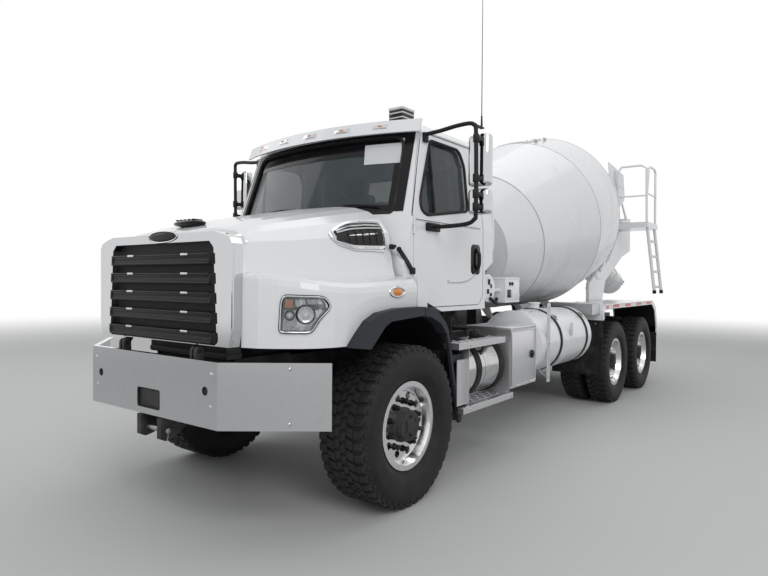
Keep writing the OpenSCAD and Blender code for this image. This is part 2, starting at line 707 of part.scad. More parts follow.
// Arch lips as [y, z], outer edge from front to rear and inner edge back
arch_out = [[-695, 1165], [-624, 1248], [-547, 1318], [-441, 1365], [-247, 1388], [hood_rear, 1390], [200, 1364],
    [257, 1338], [348, 1266], [400, 1190]];
arch_gap = 0.3;
arch_in = [[345, 1190], [325, 1222], [269, 1268], [145, 1316], [35, 1328], [-330, 1306], [-396, 1273], [-537, 1145]];
// Thin leg of the rear lip as [y, z], its rear edge from the top down
leg_edge = [[350, 1262], [444, 1240], [482, 1199], [531, 1044], [573, 862], [623, 677], [684, 470]];

module arch_lip(a, b) intersection() {
    side_plate(1135, 1218, concat(arch_out, arch_in));
    box([1100, a, 0], [1300, b, 2000]);
}

module hood_flares() color("#202020") place() both() arch_lip(-1000, hood_rear);

module cab_flares() color("#202020") place() both() {
    arch_lip(hood_rear + 9, 1000);
    // Its thin leg, the post on it and the arm that carries it from the rail
    side_plate(1135, 1160, concat(leg_edge, [for (i = [len(leg_edge) - 1 : -1 : 0]) leg_edge[i] - [30, 6]]));
    box([1060, 640, 480], [1160, 690, 560]);
    box([rail_x, 700, 940], [1150, 722, 1000]);
    box([1136, 530, 940], [1150, 722, 1000]);
}

// Hood

// Hood sections: y, low edge, fender's half width, fender's top, hood's half width, crown height, and how
// far the middle lies ahead of the sides
hood_rows = [
    [-1135, hood_low, 738, 1590, 712, 1858, 0], [-1110, hood_low, 835, 1606, 720, 1874, 0],
    [-1050, hood_low, 930, 1606, 742, 1902, 0], [-965, hood_low, 1036, 1592, 768, 1928, 0],
    [-880, hood_low, 1104, 1578, 792, 1952, 0], [-790, hood_low, 1142, 1566, 815, 1976, 0],
    [arch_out[0][0], hood_low, 1158, 1561, 836, 1998, 0],
    [arch_out[1][0], arch_out[1][1] + arch_gap, 1161, 1560, 848, 2013, 0],
    [arch_out[2][0], arch_out[2][1] + arch_gap, 1163, 1561, 862, 2029, 0],
    [arch_out[3][0], arch_out[3][1] + arch_gap, 1164, 1566, 881, 2051, 5],
    [arch_out[4][0], arch_out[4][1] + arch_gap, 1162, 1576, 906, 2086, 22],
    [hood_rear, arch_out[5][1] + arch_gap, 1150, 1594, 936, 2140, 55]];

// Half of a section as [x, z], from the fender's low edge to the crown
function hood_half(row) =
    let (r = min(70, (row[2] - row[4]) / 2), shoulder = row[3] + 70)
    concat(
        [[row[2] - 8, row[1]], [row[2], (row[1] + row[3]) / 2]],
        [for (a = [0 : 30 : 90]) [row[2] - r + r * cos(a), row[3] - r + r * sin(a)]],
        [[row[4] + 18, row[3] + 12], [row[4], shoulder]],
        [for (a = [24, 42, 56, 68, 79]) [row[4] * pow(cos(a), 0.45), shoulder + (row[5] - shoulder) * pow(sin(a), 0.7)]],
        [[0, row[5]]]);

function mirrored(half) = concat(half, [for (i = [len(half) - 2 : -1 : 0]) [-half[i][0], half[i][1]]]);

// The same line moved inwards by t
function inset(line, t) = [for (i = [0 : len(line) - 1])
    let (d = line[min(i + 1, len(line) - 1)] - line[max(i - 1, 0)])
    line[i] + t * [-d[1], d[0]] / norm(d)];

// Skin of the hood between two insets, over the sections from a to b
module hood_skin(outer, inner, a, b) loft([for (k = [a : b])
    let (row = hood_rows[k], line = mirrored(hood_half(row)), out = inset(line, outer), back = inset(line, inner))
    [for (p = concat(back, [for (i = [len(out) - 1 : -1 : 0]) out[i]]))
        [p[0], row[0] - row[6] * (1 - min(1, pow(p[0] / row[4], 2))), p[1]]]], true);

module hood() color("white") place() hood_skin(0, hood_t, 0, len(hood_rows) - 1);

grille_outline = [[-580, 1180], [-594, 1214], [-590, 1260], [-560, 1760], [-520, 1800], [520, 1800], [560, 1760],
    [590, 1260], [594, 1214], [580, 1180]];

module grille() color("#202020") place() {
    step = (1780 - 1190) / grille_bars;
    inner = [for (p = grille_outline) [p[0] * 0.999, 1490 + (p[1] - 1490) * 0.999]];
    front_plate(-1165, -1155, inner);
    intersection() {
        front_plate(-1225, -1164, inner);
        for (i = [0 : grille_bars - 1])
            box([-700, -1225, 1190 + i * step], [700, -1164, 1190 + i * step + step * 0.55]);
    }
    // Lugs and pins of the hood's hinge
    both() {
        side_plate(rail_x - 41, rail_x - 20, [[-hood_hinge_y - 22, hood_hinge_z - 22],
            [-hood_hinge_y + 22, hood_hinge_z - 22], [-1145, 1185], [-1145, 1300], [-1160, 1300], [-1160, 1184],
            [-hood_hinge_y - 22, hood_hinge_z + 24]]);
        rod_x(rail_x - 60, rail_x - 1, -hood_hinge_y, hood_hinge_z, hinge_pin_r);
    }
}

// Side vents: y, and the first and last place on the section's line, counted in its points
vent_rows = [[-500, 7.98, 8.25], [-441, 7.75, 8.6], [-350, 7.62, 8.85], [-300, 7.55, 8.95], [-247, 7.53, 8.93],
    [-150, 7.5, 8.9], [-20, 7.45, 8.75], [22, 7.75, 8.65]];

// Section of the hood at any y, and the place at u points along a line
function hood_at(y) = [for (c = [0 : 6]) lookup(y, [for (row = hood_rows) [row[0], row[c]]])];
function along_line(line, u) = line[floor(u)] + (u - floor(u)) * (line[floor(u) + 1] - line[floor(u)]);

// A thin plate on the hood's left side between two heights off its surface
module on_hood(rows, outer, inner) loft([for (v = rows)
    let (row = hood_at(v[0]), line = mirrored(hood_half(row)), us = [v[1], 8, (8 + v[2]) / 2, v[2]],
        ring = concat([for (u = us) along_line(inset(line, -inner), u)],
            [for (i = [len(us) - 1 : -1 : 0]) along_line(inset(line, -outer), us[i])]))
    [for (p = ring) [p[0], row[0] - row[6] * (1 - min(1, pow(p[0] / row[4], 2))), p[1]]]], true);

module hood_trim() color("gainsboro") place() {
    // Bright surround of the grille
    difference() {
        front_plate(-1215, hood_rows[0][0], [[-700, 1175], [-724, 1271], [-727, 1780], [-706, 1815], [-640, 1838],
            [-560, 1856], [560, 1856], [640, 1838], [706, 1815], [727, 1780], [724, 1271], [700, 1175]]);
        front_plate(-1300, -1100, grille_outline);
        both() box([rail_x - 42, -1216, 1170], [rail_x - 19, -1130, 1190]);
    }
    both() on_hood(vent_rows, 12, 0.95);
}

module headlamps() color("lightgray") place() intersection() {
    hood_skin(-10, -0.3, 1, 6);
    both() front_plate(-1200, -700, [[941, 1269], [948, 1440], [959, 1478], [1115, 1472], [1131, 1415],
        [1072, 1267]]);
}

// Mirrors

module mirror_set(s) color("#202020") place() mirror([s < 0 ? 1 : 0, 0, 0]) {
    // Feet on the door's front edge
    box([cab_half, 390, 1955], [cab_half + 26, 560, 2008]);
    lean = (cab_half - roof_half) / (roof_edge_z - belt_z);
    foot = [for (z = [2645, 2712]) [cab_half - lean * (z - belt_z) + 0.3, z]];
    front_plate(440, 485, [foot[0], foot[1], [962, 2712], [962, 2645]]);
    tube([[950, 458, 2700], [1080, 470, 2712], [1200, 480, 2730], [1310, 492, 2738], [1352, 500, 2722],
        [1364, 508, 2660], [1364, 515, 2090], [1352, 512, 2030], [1300, 505, 1998], [1150, 485, 1985],
        [1026, 470, 1985]], 16, [0, 1, 0.2]);
    // Upper and lower heads on their clamps
    for (h = [[2283, 2675], [2072, 2264]]) {
        box([1262, 560, h[0]], [1440, 655, h[1]]);
        for (z = [h[0] + 35, h[1] - 65]) box([1346, 505, z], [1382, 561, z + 30]);
    }
    if (s > 0) {
        box([1344, 495, 2716], [1372, 620, 2724]);
        rod_z(1358, 605, 2718, 3930, 7);
    }
}

// Drum

// Section of the drum as [distance along the axis, radius]
function drum_row(t) = [
    [-front_cone_l - 420 + t, 330], [-front_cone_l - 420 + t, 560 - t], [-front_cone_l, front_seam_r - t],
    [0, drum_r - 6 - t], [barrel_l, drum_r - t], [barrel_l + 760, track_r - t - 20],
    [barrel_l + rear_cone_l, mouth_r - t]];

module on_drum_axis() translate([0, drum_y, drum_z]) rotate([-90 + drum_tilt, 0, 0]) children();

module drum() color("white") place() on_drum_axis() rotate_extrude($fn = 96) {
    polygon(concat([[0, -front_cone_l - 420]], [for (p = drum_row(0)) [p[1], p[0]]],
        [for (i = [6 : -1 : 1]) [drum_row(drum_t)[i][1], drum_row(drum_t)[i][0]]], [[0, -front_cone_l - 406]]));
    // Roller track
    polygon([[track_r - 60, barrel_l + 640], [track_out, barrel_l + 640], [track_out, barrel_l + 720],
        [track_r - 60, barrel_l + 720]]);
}

module drum_drive() color("white") place() {
    // Gearbox on its front pedestal
    on_drum_axis() translate([0, 0, -front_cone_l - 420 - 330]) cylinder(r = 230, h = 330 - 0.3);
    both() side_plate(230, 262, [[2050, frame_top], [2760, frame_top], [2700, 1250], [2660, 1900], [2440, 1860],
        [2250, 1400]]);
    box([-262, 2440, 1600], [262, 2640, 1700]);
    both() box([230, 2050, frame_top], [rail_x, 2760, frame_top + 30]);
}

// Outline of the rear pedestal's side plates in (y, z)
pedestal_in = 520;
pedestal_out = 555;

module rear_pedestal() color("white") place() {
    both() {
        side_plate(pedestal_in, pedestal_out, [[5520, frame_top], [6080, frame_top], [6340, 1600], [7260, 2010],
            [7740, 2130], [7740, 2700], [7240, 2620], [6500, 1935], [5800, 1690], [5520, 1560]]);
        box([rail_x - rail_w, 5520, frame_top], [pedestal_in + 1, 6080, frame_top + 30]);
        // Roller under the drum's track, on its shaft and two blocks
        on_drum_axis() rotate([0, 0, -roller_angle]) translate([0, track_out + roller_r + 0.3, barrel_l + 680]) {
            translate([0, 0, -50]) cylinder(r = roller_r, h = 100);
            translate([0, 0, -110]) cylinder(r = 30, h = 220);
        }
    }
    both() for (e = [[5835, 1650, 1900], [6048, 1730, 1945]])
        box([pedestal_in - 40, e[0], e[1]], [pedestal_out + 20, e[0] + 38, e[2]]);
    // Cross members between the side plates
    box([-pedestal_in - 1, 5600, frame_top], [pedestal_in + 1, 5700, frame_top + 90]);
    box([-pedestal_in - 1, 7600, 2600], [pedestal_in + 1, 7700, 2690]);
}

module charge_hopper() color("white") place() {
    outline = [[6600, 2830], [6440, 3490], [7250, 3400], [7340, 3060], [7340, 2980], [6900, 2760], [6620, 2760]];
    inside = [[6500, 2790], [6300, 3560], [7236, 3560], [7236, 3395], [7324, 3060], [7324, 2990], [6896, 2774],
        [6610, 2774]];
    difference() {
        side_plate(-560, 560, outline);
        side_plate(-545, 545, inside);
        box([-545, 6500, 3380], [545, 7240, 3600]);
    }
    // Legs down to the pedestal's cross member
    both() side_plate(500, 519, [[7300, 2990], [7339, 2990], [7700, 2690], [7600, 2690]]);
    // Hood around the top of the drum's mouth
    intersection() {
        on_drum_axis() translate([0, 0, barrel_l + rear_cone_l - 110]) difference() {
            cylinder(r = mouth_r + 110, h = 260);
            translate([0, 0, -1]) cylinder(r = mouth_r + 95, h = 262);
        }
        box([-800, 6000, 2960], [800, 7000, 3800]);
    }
}

module collector() color("white") place() {
    difference() {
        side_plate(-470, 470, [[6660, 2500], [7300, 2640], [7500, 2500], [7500, 2120], [7290, 2085], [6660, 2390]]);
        side_plate(-455, 455, [[6640, 2480], [6640, 2700], [7300, 2700], [7485, 2490], [7485, 2000], [7300, 2000],
            [7300, 2096], [6640, 2415]]);
    }
    both() box([469, 7150, 2170], [pedestal_in, 7230, 2270]);
}

module ladder() color("gainsboro") place() {
    // Platform beside the hopper, with its arm from the pedestal
    box([600, 6600, 2440], [1120, 7240, 2520]);
    box([pedestal_out, 7100, 2440], [601, 7240, 2520]);
    // Stiles and rungs
    top = [1090, 6690, 2470];
    foot = [1195, 6760, 1400];
    side = [0, 460, 0];
    for (m = [0, 1]) bar(top + m * side, foot + m * side, 24);
    for (i = [1 : 4]) let (p = top + (foot - top) * i / 4.4) bar(p, p + side, 14);
    // Hand rails at the platform's front and side
    tube([[650, 6640, 2500], [650, 6640, 3350], [700, 6640, 3430], [1000, 6640, 3430], [1080, 6650, 3380],
        [1090, 6660, 2500]], 18, [0, 1, 0]);
    tube([[1090, 6660, 3000], [1095, 6720, 3380], [1095, 6800, 3420], [1095, 7080, 3420], [1095, 7160, 3370],
        [1095, 7180, 2500]], 18);
}

module control_box() color("white") place() {
    box([713, 2005, 1362], [893, 2335, 1592]);
    box([rail_x, 2070, 900], [540, 2150, 1420]);
    box([539, 2070, 1372], [714, 2150, 1420]);
}

module lamps() color("darkred") place() {
    both() {
        box([140, frame_rear, 850], [840, frame_rear + 12, 980]);
        box([560, frame_rear + 11, 865], [820, frame_rear + 55, 965]);
    }
    // Beacon on the roof
    box([440, 705, roof_top_z], [560, 845, roof_top_z + 46]);
    box([430, 690, roof_top_z + 45], [570, 860, roof_top_z + 195]);
}

// Chute

module chute_swivel() color("gainsboro") place() {
    rod_z(0, post_y, post_low - 20, 1480, post_r);
    rod_z(0, post_y, post_low + 180, post_low + 220, post_r + 25);
    // Head with the hinge's two ears
    box([-90, post_y - 60, 1440], [90, post_y + 110, 1480]);
    difference() {
        both() side_plate(66, 90, [[post_y + 10, 1479], [post_y + 110, 1479], [post_y + 90, hinge_z + 30],
            [post_y + 30, hinge_z + 30]]);
        rod_x(-100, 100, post_y + 60, hinge_z, hinge_r + pin_fit);
    }
}

// Half round trough along +Y, its edges at z = 0
module trough(l, r, t) difference() {
    rotate([-90, 0, 0]) cylinder(r = r, h = l);
    translate([0, -1, 0]) rotate([-90, 0, 0]) cylinder(r = r - t, h = l + 2);
    translate([-r - 1, -1, 0]) cube([2 * r + 2, l + 2, r + 2]);
}

module on_chute() translate([0, post_y + 60, hinge_z]) rotate([-chute_slope, 0, 0]) children();

module chute_main() color("white") place() on_chute() {
    translate([0, -chute_up, chute_edge]) trough(chute_l, chute_half, chute_t);
    // Hinge lug and pin
    box([-60, -30, 20], [60, 120, chute_edge - chute_half + 20]);
    box([-60, -30, -30], [60, 30, 21]);
    rod_x(-88, 88, 0, 0, hinge_r);
    // Ears for the folding chute's pins
    difference() {
        both() side_plate(chute_half - 1, chute_half + 12, [[fold_y - 95, chute_edge - 60], [fold_y - 95, chute_edge],
            [fold_y - 30, fold_z + 22], [fold_y + 25, fold_z + 22], [fold_y + 25, fold_z - 25],
            [fold_y - 30, chute_edge - 70]]);
        rod_x(-300, 300, fold_y, fold_z, fold_pin_r + pin_fit);
    }
}

module chute_fold() color("white") place() on_chute() {
    r = chute_half - 12;
    translate([0, fold_y - 5, fold_z + 5]) rotate([0, 0, 180]) mirror([0, 0, 1]) trough(fold_l, r, chute_t);
    both() {
        side_plate(r - 1, r + 8, [[fold_y - 60, fold_z + 6], [fold_y - 60, fold_z + 60], [fold_y - 5, fold_z + 30],
            [fold_y + 18, fold_z + 12], [fold_y + 18, fold_z - 16], [fold_y - 18, fold_z - 16], [fold_y - 24, fold_z + 2]]);
        rod_x(r, chute_half + 10, fold_y, fold_z, fold_pin_r);
    }
}

frame_rails();
front_bumper();
tow_bracket();
front_axle();
drive_axles();
rear_suspension();
engine();
cab_shell();
cab_glass();
dashboard();
seats();
sun_visor();
fuel_tank();
tank_straps();
side_steps();
toolbox();
water_tank();
battery_box();
exhaust_box();
deck();
rear_fenders();
mud_flaps();
cab_flares();
drum_drive();
rear_pedestal();
charge_hopper();
collector();
ladder();
control_box();
lamps();
color("dimgray") place() knuckle(1);  // knuckle_left
color("dimgray") place() knuckle(-1);  // knuckle_right
tie_rod();
front_wheel(1);  // front_wheel_left
front_wheel(-1);  // front_wheel_right
front_tyre(1);  // front_tyre_left
front_tyre(-1);  // front_tyre_right
rear_wheels(1, axle_1_y);  // rear_wheels_1_left
rear_wheels(-1, axle_1_y);  // rear_wheels_1_right
rear_wheels(1, axle_2_y);  // rear_wheels_2_left
rear_wheels(-1, axle_2_y);  // rear_wheels_2_right
rear_tyres(1, axle_1_y);  // rear_tyres_1_left
rear_tyres(-1, axle_1_y);  // rear_tyres_1_right
rear_tyres(1, axle_2_y);  // rear_tyres_2_left
rear_tyres(-1, axle_2_y);  // rear_tyres_2_right
hood();
grille();
hood_trim();
headlamps();
hood_flares();
door(1);  // door_left
door(-1);  // door_right
window(1);  // window_left
window(-1);  // window_right
mirror_set(1);  // mirror_left
mirror_set(-1);  // mirror_right
drum();
chute_swivel();
chute_main();
chute_fold();
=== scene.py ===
"""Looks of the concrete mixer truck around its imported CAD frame, in metres of the row's frame."""

from __future__ import annotations

import json
import logging
from dataclasses import dataclass
from enum import Enum
from math import asin, cos, pi, radians, sin, sqrt, tan, tau
from typing import Callable, Iterable, Sequence, Union

import bmesh
import bpy
from mathutils import Matrix, Vector

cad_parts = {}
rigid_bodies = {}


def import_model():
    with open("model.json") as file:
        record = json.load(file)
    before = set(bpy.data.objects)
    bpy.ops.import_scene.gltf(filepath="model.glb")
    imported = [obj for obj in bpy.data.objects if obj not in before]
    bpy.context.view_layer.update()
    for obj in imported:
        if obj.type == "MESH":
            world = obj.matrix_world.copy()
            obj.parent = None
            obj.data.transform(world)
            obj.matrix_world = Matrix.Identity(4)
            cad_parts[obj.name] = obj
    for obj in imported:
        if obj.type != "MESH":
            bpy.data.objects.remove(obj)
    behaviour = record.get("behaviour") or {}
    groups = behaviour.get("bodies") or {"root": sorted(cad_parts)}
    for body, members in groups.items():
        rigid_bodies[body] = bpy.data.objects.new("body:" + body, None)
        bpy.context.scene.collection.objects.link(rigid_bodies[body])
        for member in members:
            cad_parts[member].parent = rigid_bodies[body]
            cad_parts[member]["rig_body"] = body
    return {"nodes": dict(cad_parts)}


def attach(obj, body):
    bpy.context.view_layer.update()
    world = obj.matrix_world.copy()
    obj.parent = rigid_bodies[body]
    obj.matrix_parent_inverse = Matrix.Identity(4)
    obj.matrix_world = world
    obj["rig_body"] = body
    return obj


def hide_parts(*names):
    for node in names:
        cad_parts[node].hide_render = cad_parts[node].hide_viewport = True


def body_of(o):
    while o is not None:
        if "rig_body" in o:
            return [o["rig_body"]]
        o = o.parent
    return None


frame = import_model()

log = logging.getLogger("mixer_truck")
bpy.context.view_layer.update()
# The front axle in the row's frame
AXLE_Y = -3.617
# Radii of the tyres, which are also the heights of their axles
FRONT_TYRE, REAR_TYRE = 0.562, 0.527
# How far the rear axles stand behind the front one
REAR_AXLES = (4.705, 6.025)
Number = Union[float, "Value"]
Point = Sequence[float]


def at(x: float, y: float, z: float) -> Vector:
    """A place given in metres from the front axle's centre line, moved into the row's frame."""
    return Vector((x, y + AXLE_Y, z))


class Side(Enum):
    """The two sides of the truck, with the sign of their x."""

    LEFT = 1
    RIGHT = -1

    @property
    def word(self) -> str:
        """The side's name as it stands in the bodies' names."""
        return self.name.lower()


class Value:
    """A shader socket's number, with which maths is written as Python expressions."""

    def __init__(self, maker: "Nodes", socket: bpy.types.NodeSocket) -> None:
        """Keeps the socket and what builds its tree."""
        self.maker = maker
        self.socket = socket

    def _op(self, operation: str, a: Number, b: Number | None = None) -> "Value":
        """A Math node on one or two numbers or values."""
        return self.maker.value("ShaderNodeMath", {"operation": operation}, {0: a}
                                if b is None else {0: a, 1: b})

    def __add__(self, other: Number) -> "Value":
        """self + other"""
        return self._op("ADD", self, other)

    __radd__ = __add__

    def __sub__(self, other: Number) -> "Value":
        """self - other"""
        return self._op("SUBTRACT", self, other)

    def __rsub__(self, other: Number) -> "Value":
        """other - self"""
        return self._op("SUBTRACT", other, self)

    def __mul__(self, other: Number) -> "Value":
        """self * other"""
        return self._op("MULTIPLY", self, other)

    __rmul__ = __mul__

    def __truediv__(self, other: Number) -> "Value":
        """self / other"""
        return self._op("DIVIDE", self, other)

    def __pow__(self, other: Number) -> "Value":
        """self ** other"""
        return self._op("POWER", self, other)

    def __abs__(self) -> "Value":
        """The size of the value without its sign."""
        return self._op("ABSOLUTE", self)

    def __gt__(self, other: Number) -> "Value":
        """1 where the value is greater, else 0."""
        return self._op("GREATER_THAN", self, other)

    def __lt__(self, other: Number) -> "Value":
        """1 where the value is less, else 0."""
        return self._op("LESS_THAN", self, other)

    def at_least(self, other: Number) -> "Value":
        """The greater of the two."""
        return self._op("MAXIMUM", self, other)

    def at_most(self, other: Number) -> "Value":
        """The lesser of the two."""
        return self._op("MINIMUM", self, other)

    def wave(self) -> "Value":
        """The sine of the value."""
        return self._op("SINE", self)

    def part(self) -> "Value":
        """What is left over past the whole number below."""
        return self._op("FRACT", self)

    def whole(self) -> "Value":
        """The whole number below the value."""
        return self._op("FLOOR", self)

    def odd(self) -> "Value":
        """1 on odd whole numbers and 0 on even ones."""
        return self._op("FLOORED_MODULO", self.whole(), 2.0)

    def ramp(self, low: float, high: float, to_low: float = 0.0, to_high: float = 1.0) -> "Value":
        """A smooth step.

        Args:
            low: The value where the step starts.
            high: The value where it ends.
            to_low: What it gives at the start.
            to_high: What it gives at the end.

        Returns:
            The stepped value.
        """
        return self.maker.value("ShaderNodeMapRange", {"interpolation_type": "SMOOTHSTEP"},
                                {0: self, 1: low, 2: high, 3: to_low, 4: to_high})


class Nodes:
    """Adds all the nodes of one tree, a material's or the world's."""

    def __init__(self, tree: bpy.types.NodeTree) -> None:
        """Keeps the tree."""
        self.tree = tree

    def node(self, kind: str, settings: dict | None = None, inputs: dict | None = None) -> bpy.types.Node:
        """Adds a node.

        Args:
            kind: The node's type name.
            settings: Its own settings, set before its sockets.
            inputs: Numbers, colours or values by socket name or index.

        Returns:
            The node.
        """
        made = self.tree.nodes.new(kind)
        for key, value in (settings or {}).items():
            setattr(made, key, value)
        for key, value in (inputs or {}).items():
            self.feed(made.inputs[key], value)
        return made

    def value(self, kind: str, settings: dict | None = None, inputs: dict | None = None,
              out: int | str = 0) -> Value:
        """Adds a node and gives one of its outputs."""
        return Value(self, self.node(kind, settings, inputs).outputs[out])

    def feed(self, socket: bpy.types.NodeSocket, value: object) -> None:
        """Links a value to a socket, or sets the socket's own number or colour.

        Args:
            socket: The input socket.
            value: A value, a number or a colour.
        """
        if isinstance(value, Value):
            self.tree.links.new(value.socket, socket)
        elif isinstance(value, (int, float)):
            socket.default_value = value
        else:
            numbers = tuple(value)
            socket.default_value = numbers if len(numbers) == len(socket.default_value) else (*numbers, 1.0)


class Maker(Nodes):
    """Builds one procedural material node by node."""

    def __init__(self, name: str) -> None:
        """Starts a material that has only its Principled shader.

        Args:
            name: The material's name.
        """
        self.material = bpy.data.materials.new(name)
        self.material.use_nodes = True
        super().__init__(self.material.node_tree)
        self.shader = self.tree.nodes["Principled BSDF"]
        self.output = self.tree.nodes["Material Output"]

    def place(self, scale: Point = (1, 1, 1)) -> Value:
        """Object coordinates, stretched by a Mapping node."""
        coords = self.value("ShaderNodeTexCoord", out="Object")
        return self.value("ShaderNodeMapping", None, {"Vector": coords, "Scale": scale})

    def axes(self, vector: Value | None = None) -> tuple[Value, Value, Value]:
        """The three numbers of a vector, or of the Object coordinates."""
        node = self.node("ShaderNodeSeparateXYZ", None, {0: vector or self.place()})
        return tuple(Value(self, out) for out in node.outputs)

    def facing(self) -> tuple[Value, Value, Value]:
        """How much the surface faces along each axis, without sign."""
        return tuple(abs(part) for part in self.axes(self.value("ShaderNodeTexCoord", out="Normal")))

    def noise(self, scale: float, detail: float = 3.0, rough: float = 0.5,
              stretch: Point = (1, 1, 1)) -> Value:
        """Noise over the Object coordinates, from 0 to 1."""
        return self.value("ShaderNodeTexNoise", None,
                          {"Vector": self.place(stretch), "Scale": scale, "Detail": detail,
                           "Roughness": rough})

    def cells(self, scale: float) -> Value:
        """Distance to the nearest of scattered points."""
        return self.value("ShaderNodeTexVoronoi", {"feature": "F1"}, {"Vector": self.place(), "Scale": scale},
                          "Distance")

    def blend(self, share: Number, a: object, b: object) -> Value:
        """A colour between a and b."""
        return self.value("ShaderNodeMix", {"data_type": "RGBA", "clamp_factor": True},
                          {0: share, 6: a, 7: b}, 2)

    def bump(self, height: Value, distance: float, strength: float = 1.0) -> Value:
        """A Normal from a height, given in metres."""
        return self.value("ShaderNodeBump", None, {"Strength": strength, "Distance": distance,
                                                   "Height": height})

    def finish(self, **sockets: object) -> bpy.types.Material:
        """Feeds the Principled shader.

        Args:
            **sockets: Values by socket name, with underscores for blanks.

        Returns:
            The finished material.
        """
        for key, value in sockets.items():
            self.feed(self.shader.inputs[key.replace("_", " ")], value)
        return self.material


@dataclass(frozen=True)
class Finish:
    """Any finish: a name, and one material made on first use."""

    name: str

    def make(self) -> bpy.types.Material:
        """Builds the material; each kind of finish has its own."""
        raise NotImplementedError

    def material(self) -> bpy.types.Material:
        """The finish's material, made once."""
        return bpy.data.materials.get(self.name) or self.make()


@dataclass(frozen=True)
class Paint(Finish):
    """Gloss paint with a little orange peel, road dust low down and faint runs of dirt."""

    colour: tuple[float, float, float] = (0.8, 0.81, 0.82)
    dirt: tuple[float, float, float] = (0.42, 0.39, 0.34)
    dirty: float = 0.35
    rough: float = 0.22
    dust_top: float = 1.5
    black_below: float = 0.0

    def make(self) -> bpy.types.Material:
        """Mixes dust into the colour by height and noise, over black on what lies low where that is asked."""
        m = Maker(self.name)
        _, _, z = m.axes()
        low = z.ramp(0.35, self.dust_top, 1.0, 0.12)
        runs = m.noise(3.0, 5.0, 0.6, (1, 1, 0.12)).ramp(0.48, 0.78)
        specks = m.noise(60.0, 2.0).ramp(0.55, 0.75)
        mask = (runs * 0.7 + specks * 0.3) * low * self.dirty
        tone = m.noise(1.3, 2.0).ramp(0.3, 0.7, 0.0, 0.05)
        base = m.blend(tone, self.colour, tuple(c * 0.86 for c in self.colour))
        if self.black_below:
            base = m.blend(z < self.black_below, base, (0.016, 0.016, 0.017))
        peel = m.noise(260.0, 1.0) * 0.4 + m.noise(900.0, 1.0) * 0.2
        return m.finish(Base_Color=m.blend(mask, base, self.dirt), Roughness=mask * 0.5 + self.rough,
                        Coat_Weight=0.35, Normal=m.bump(peel, 0.0002, 0.35))


@dataclass(frozen=True)
class Chassis(Finish):
    """Satin dark paint under a film of road dust."""

    colour: tuple[float, float, float] = (0.022, 0.022, 0.024)
    dust: tuple[float, float, float] = (0.16, 0.145, 0.125)
    rough: float = 0.45
    metal: float = 0.0
    amount: float = 0.55

    def make(self) -> bpy.types.Material:
        """Dust lies in patches, thicker on faces that look up."""
        m = Maker(self.name)
        _, _, up = m.facing()
        film = m.noise(5.0, 6.0, 0.62).ramp(0.38, 0.72)
        grit = m.noise(140.0, 3.0)
        mask = (film * 0.55 + up * 0.35 + grit * 0.12) * self.amount
        bumps = m.noise(420.0, 2.0) * 0.5 + m.noise(45.0, 3.0) * 0.5
        return m.finish(Base_Color=m.blend(mask, self.colour, self.dust), Roughness=mask * 0.4 + self.rough,
                        Metallic=self.metal, Specular_IOR_Level=0.25, Normal=m.bump(bumps, 0.0006, 0.5))


@dataclass(frozen=True)
class Plastic(Finish):
    """Grained moulded plastic."""

    colour: tuple[float, float, float] = (0.02, 0.02, 0.021)
    rough: float = 0.5
    grain: float = 700.0
    depth: float = 0.0003

    def make(self) -> bpy.types.Material:
        """Grain from small cells, with scuffs that are a little paler."""
        m = Maker(self.name)
        cells = m.cells(self.grain)
        scuff = m.noise(18.0, 6.0, 0.7, (1, 0.3, 1)).ramp(0.56, 0.8)
        pale = tuple(min(1.0, c * 2.6 + 0.02) for c in self.colour)
        return m.finish(Base_Color=m.blend(scuff * 0.3, self.colour, pale),
                        Roughness=scuff * 0.2 + self.rough,
                        Specular_IOR_Level=0.22, Normal=m.bump(cells, self.depth, 0.6))


@dataclass(frozen=True)
class Rubber(Finish):
    """Matt rubber with dust in its pores."""

    colour: tuple[float, float, float] = (0.016, 0.016, 0.017)

    def make(self) -> bpy.types.Material:
        """Fine pores and a chalky bloom."""
        m = Maker(self.name)
        bloom = m.noise(9.0, 5.0, 0.6).ramp(0.42, 0.8)
        pores = m.noise(900.0, 2.0)
        return m.finish(Base_Color=m.blend(bloom * 0.5, self.colour, (0.09, 0.087, 0.08)),
                        Roughness=bloom * 0.15 + 0.68, Specular_IOR_Level=0.2,
                        Normal=m.bump(pores, 0.0002, 0.6))


@dataclass(frozen=True)
class TyreRubber(Finish):
    """Tyre rubber with moulded rings around its axle and dust on the tread."""

    y: float = 0.0
    z: float = 0.5
    radius: float = 0.5

    def make(self) -> bpy.types.Material:
        """Rings come from the distance to the axle; dust grows towards the tread."""
        m = Maker(self.name)
        _, y, z = m.axes()
        dy, dz = y - self.y, z - self.z
        r = (dy * dy + dz * dz) ** 0.5
        inner = r.ramp(self.radius * 0.62, self.radius * 0.66)
        outer = r.ramp(self.radius * 0.84, self.radius * 0.88, 1.0, 0.0)
        rings = (r * 640.0).wave() * (inner * outer)
        film = m.noise(11.0, 6.0, 0.65).ramp(0.36, 0.74)
        tread = r.ramp(self.radius * 0.9, self.radius * 1.0)
        mask = film * 0.2 + tread * 0.2
        grit = m.noise(500.0, 3.0)
        return m.finish(Base_Color=m.blend(mask, (0.013, 0.013, 0.0135), (0.07, 0.065, 0.06)),
                        Roughness=mask * 0.2 + 0.62, Specular_IOR_Level=0.25,
                        Normal=m.bump(rings * 0.5 + grit * 0.35, 0.0008, 0.8))


